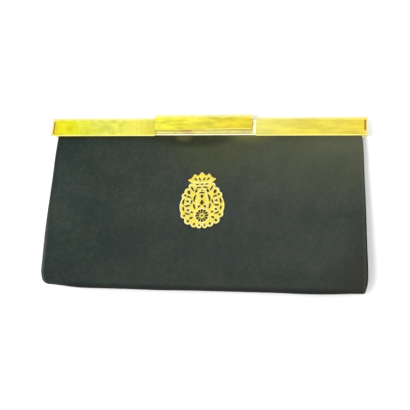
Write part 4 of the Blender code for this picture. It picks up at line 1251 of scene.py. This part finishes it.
side = crest_rim(0.0, OUTLINE_STEPS) + list(CROWN)
slab = {"dimensions": "2D", "fill_mode": "BOTH", "extrude": CREST_PLATE / 2}
crest = draw_curve("crest_openwork", [side + mirrored(side[1:])], True, 0.0, **slab)
slab["extrude"] = CREST_PLATE
holes = draw_curve("crest_holes", all_piercings(HOLE_GROWN, HOLE_POINTS), True, 0.0, **slab)
combine(crest, "DIFFERENCE", holes)
crest.data.transform(Matrix.Translation((0, 0, CREST_PLATE / 2)))
collars = all_piercings(COLLAR_GROWN, COLLAR_POINTS)
rim = crest_rim(RIM_INSET, RIM_STEPS)
arcs = []
for arc in ARCS:
    path = arc_path(arc)
    arcs.append(path)
    if arc.u:
        arcs.append([(-u, v) for u, v in path])
relief = []
for name, paths, closed, level, radius, rings in (
    ("collars", collars, True, CREST_PLATE, COLLAR_RADIUS, 1),
    ("rim", [mirrored(rim[1:]) + rim], False, CREST_PLATE + CREST_RAISED, RIM_RADIUS, 2),
    ("arcs", arcs, False, CREST_PLATE + CREST_RAISED, ARC_RADIUS, 2),
):
    wire = {"dimensions": "3D", "bevel_depth": radius, "bevel_resolution": rings}
    wire["use_fill_caps"] = not closed
    relief.append(draw_curve(name, paths, closed, level, **wire))
for ball in BALLS:
    for u in {ball.u, -ball.u}:
        bpy.ops.object.select_all(action="DESELECT")
        centre = Matrix.Rotation(CREST_TURN, 4, "Z") @ Vector((u, ball.v, CREST_PLATE))
        bpy.ops.mesh.primitive_uv_sphere_add(
            segments=20, ring_count=12, radius=ball.radius, location=centre
        )
        bpy.ops.object.transform_apply(location=True, rotation=True, scale=True)
        relief.append(bpy.context.object)
bpy.ops.object.select_all(action="DESELECT")
for piece in relief:
    piece.select_set(True)
crest.select_set(True)
bpy.context.view_layer.objects.active = crest
bpy.ops.object.join()
crest.data.materials.clear()
level = crest.data.attributes.new("raised", "FLOAT", "POINT")
for vert in crest.data.vertices:
    level.data[vert.index].value = vert.co.z
foot, top = CREST_HEIGHT - OVAL[1] * MM, CREST_HEIGHT + OVAL[1] * MM
slope = math.atan2(front_depth(foot) - front_depth(top), top - foot)
seat = Matrix.Translation((CREST_X, FOOT_Y + CREST_HEIGHT, front_depth(CREST_HEIGHT) + CREST_SEAT))
seat = seat @ Matrix.Rotation(-slope, 4, "X") @ Matrix.Scale(MM, 4)
crest.data.transform(seat)
bpy.ops.object.shade_smooth_by_angle(angle=GILT_TURN)

# Cast gilt brass: pale and bright where the raised work is rubbed, deeper and duller down
# on the plate and along the walls of the piercings. The paling also paints the raised work's
# highlights, and the deeper tone paints the shade down on the plate and in the piercings.
RUBBED_AND_LIT_MM = (0.3, 1.35)  # from where to where the colour pales, in height over its back
POLISHED_MM = (0.4, 1.3)  # and from where to where the gloss grows
MIDDLE_TONE = 0.62
cast_gilt, tree, shader, place = begin_material("gilt_brass_cast")
raised = add_node(tree, "Attribute", {}, attribute_name="raised").outputs["Fac"]
heights = {"Value": raised, "From Min": RUBBED_AND_LIT_MM[0], "From Max": RUBBED_AND_LIT_MM[1]}
wear_and_painted_light = add_node(tree, "MapRange", heights)
grain = add_node(tree, "TexNoise", {"Vector": place, "Scale": 0.5, "Detail": 3.0})
tone = add_node(tree, "ValToRGB", {0: wear_and_painted_light})
tone.color_ramp.interpolation = "EASE"
tone.color_ramp.elements.new(MIDDLE_TONE)
for element, code in zip(tone.color_ramp.elements, ("AE880C", "E9D858", "FFFEBE")):
    element.color = linear(code)
spread = {"From Min": NOISE_MOST[0], "From Max": NOISE_MOST[1], "To Min": 0.9, "To Max": 1.1}
patchy = add_node(tree, "MapRange", {"Value": grain, **spread})
colour = add_node(
    tree, "Mix", {0: 1.0, 6: tone, 7: patchy}, data_type="RGBA", blend_type="MULTIPLY"
)
heights = {"Value": raised, "From Min": POLISHED_MM[0], "From Max": POLISHED_MM[1]}
dull = add_node(tree, "MapRange", {**heights, "To Min": 0.5, "To Max": 0.2})
bump = add_node(tree, "Bump", {"Height": grain, "Distance": 0.05 * MM, "Strength": 0.4})
plug(tree, shader, {"Base Color": colour, "Metallic": 1.0, "Roughness": dull, "Normal": bump})
crest.data.materials.append(cast_gilt)
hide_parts("crest")
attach(crest, "clutch")
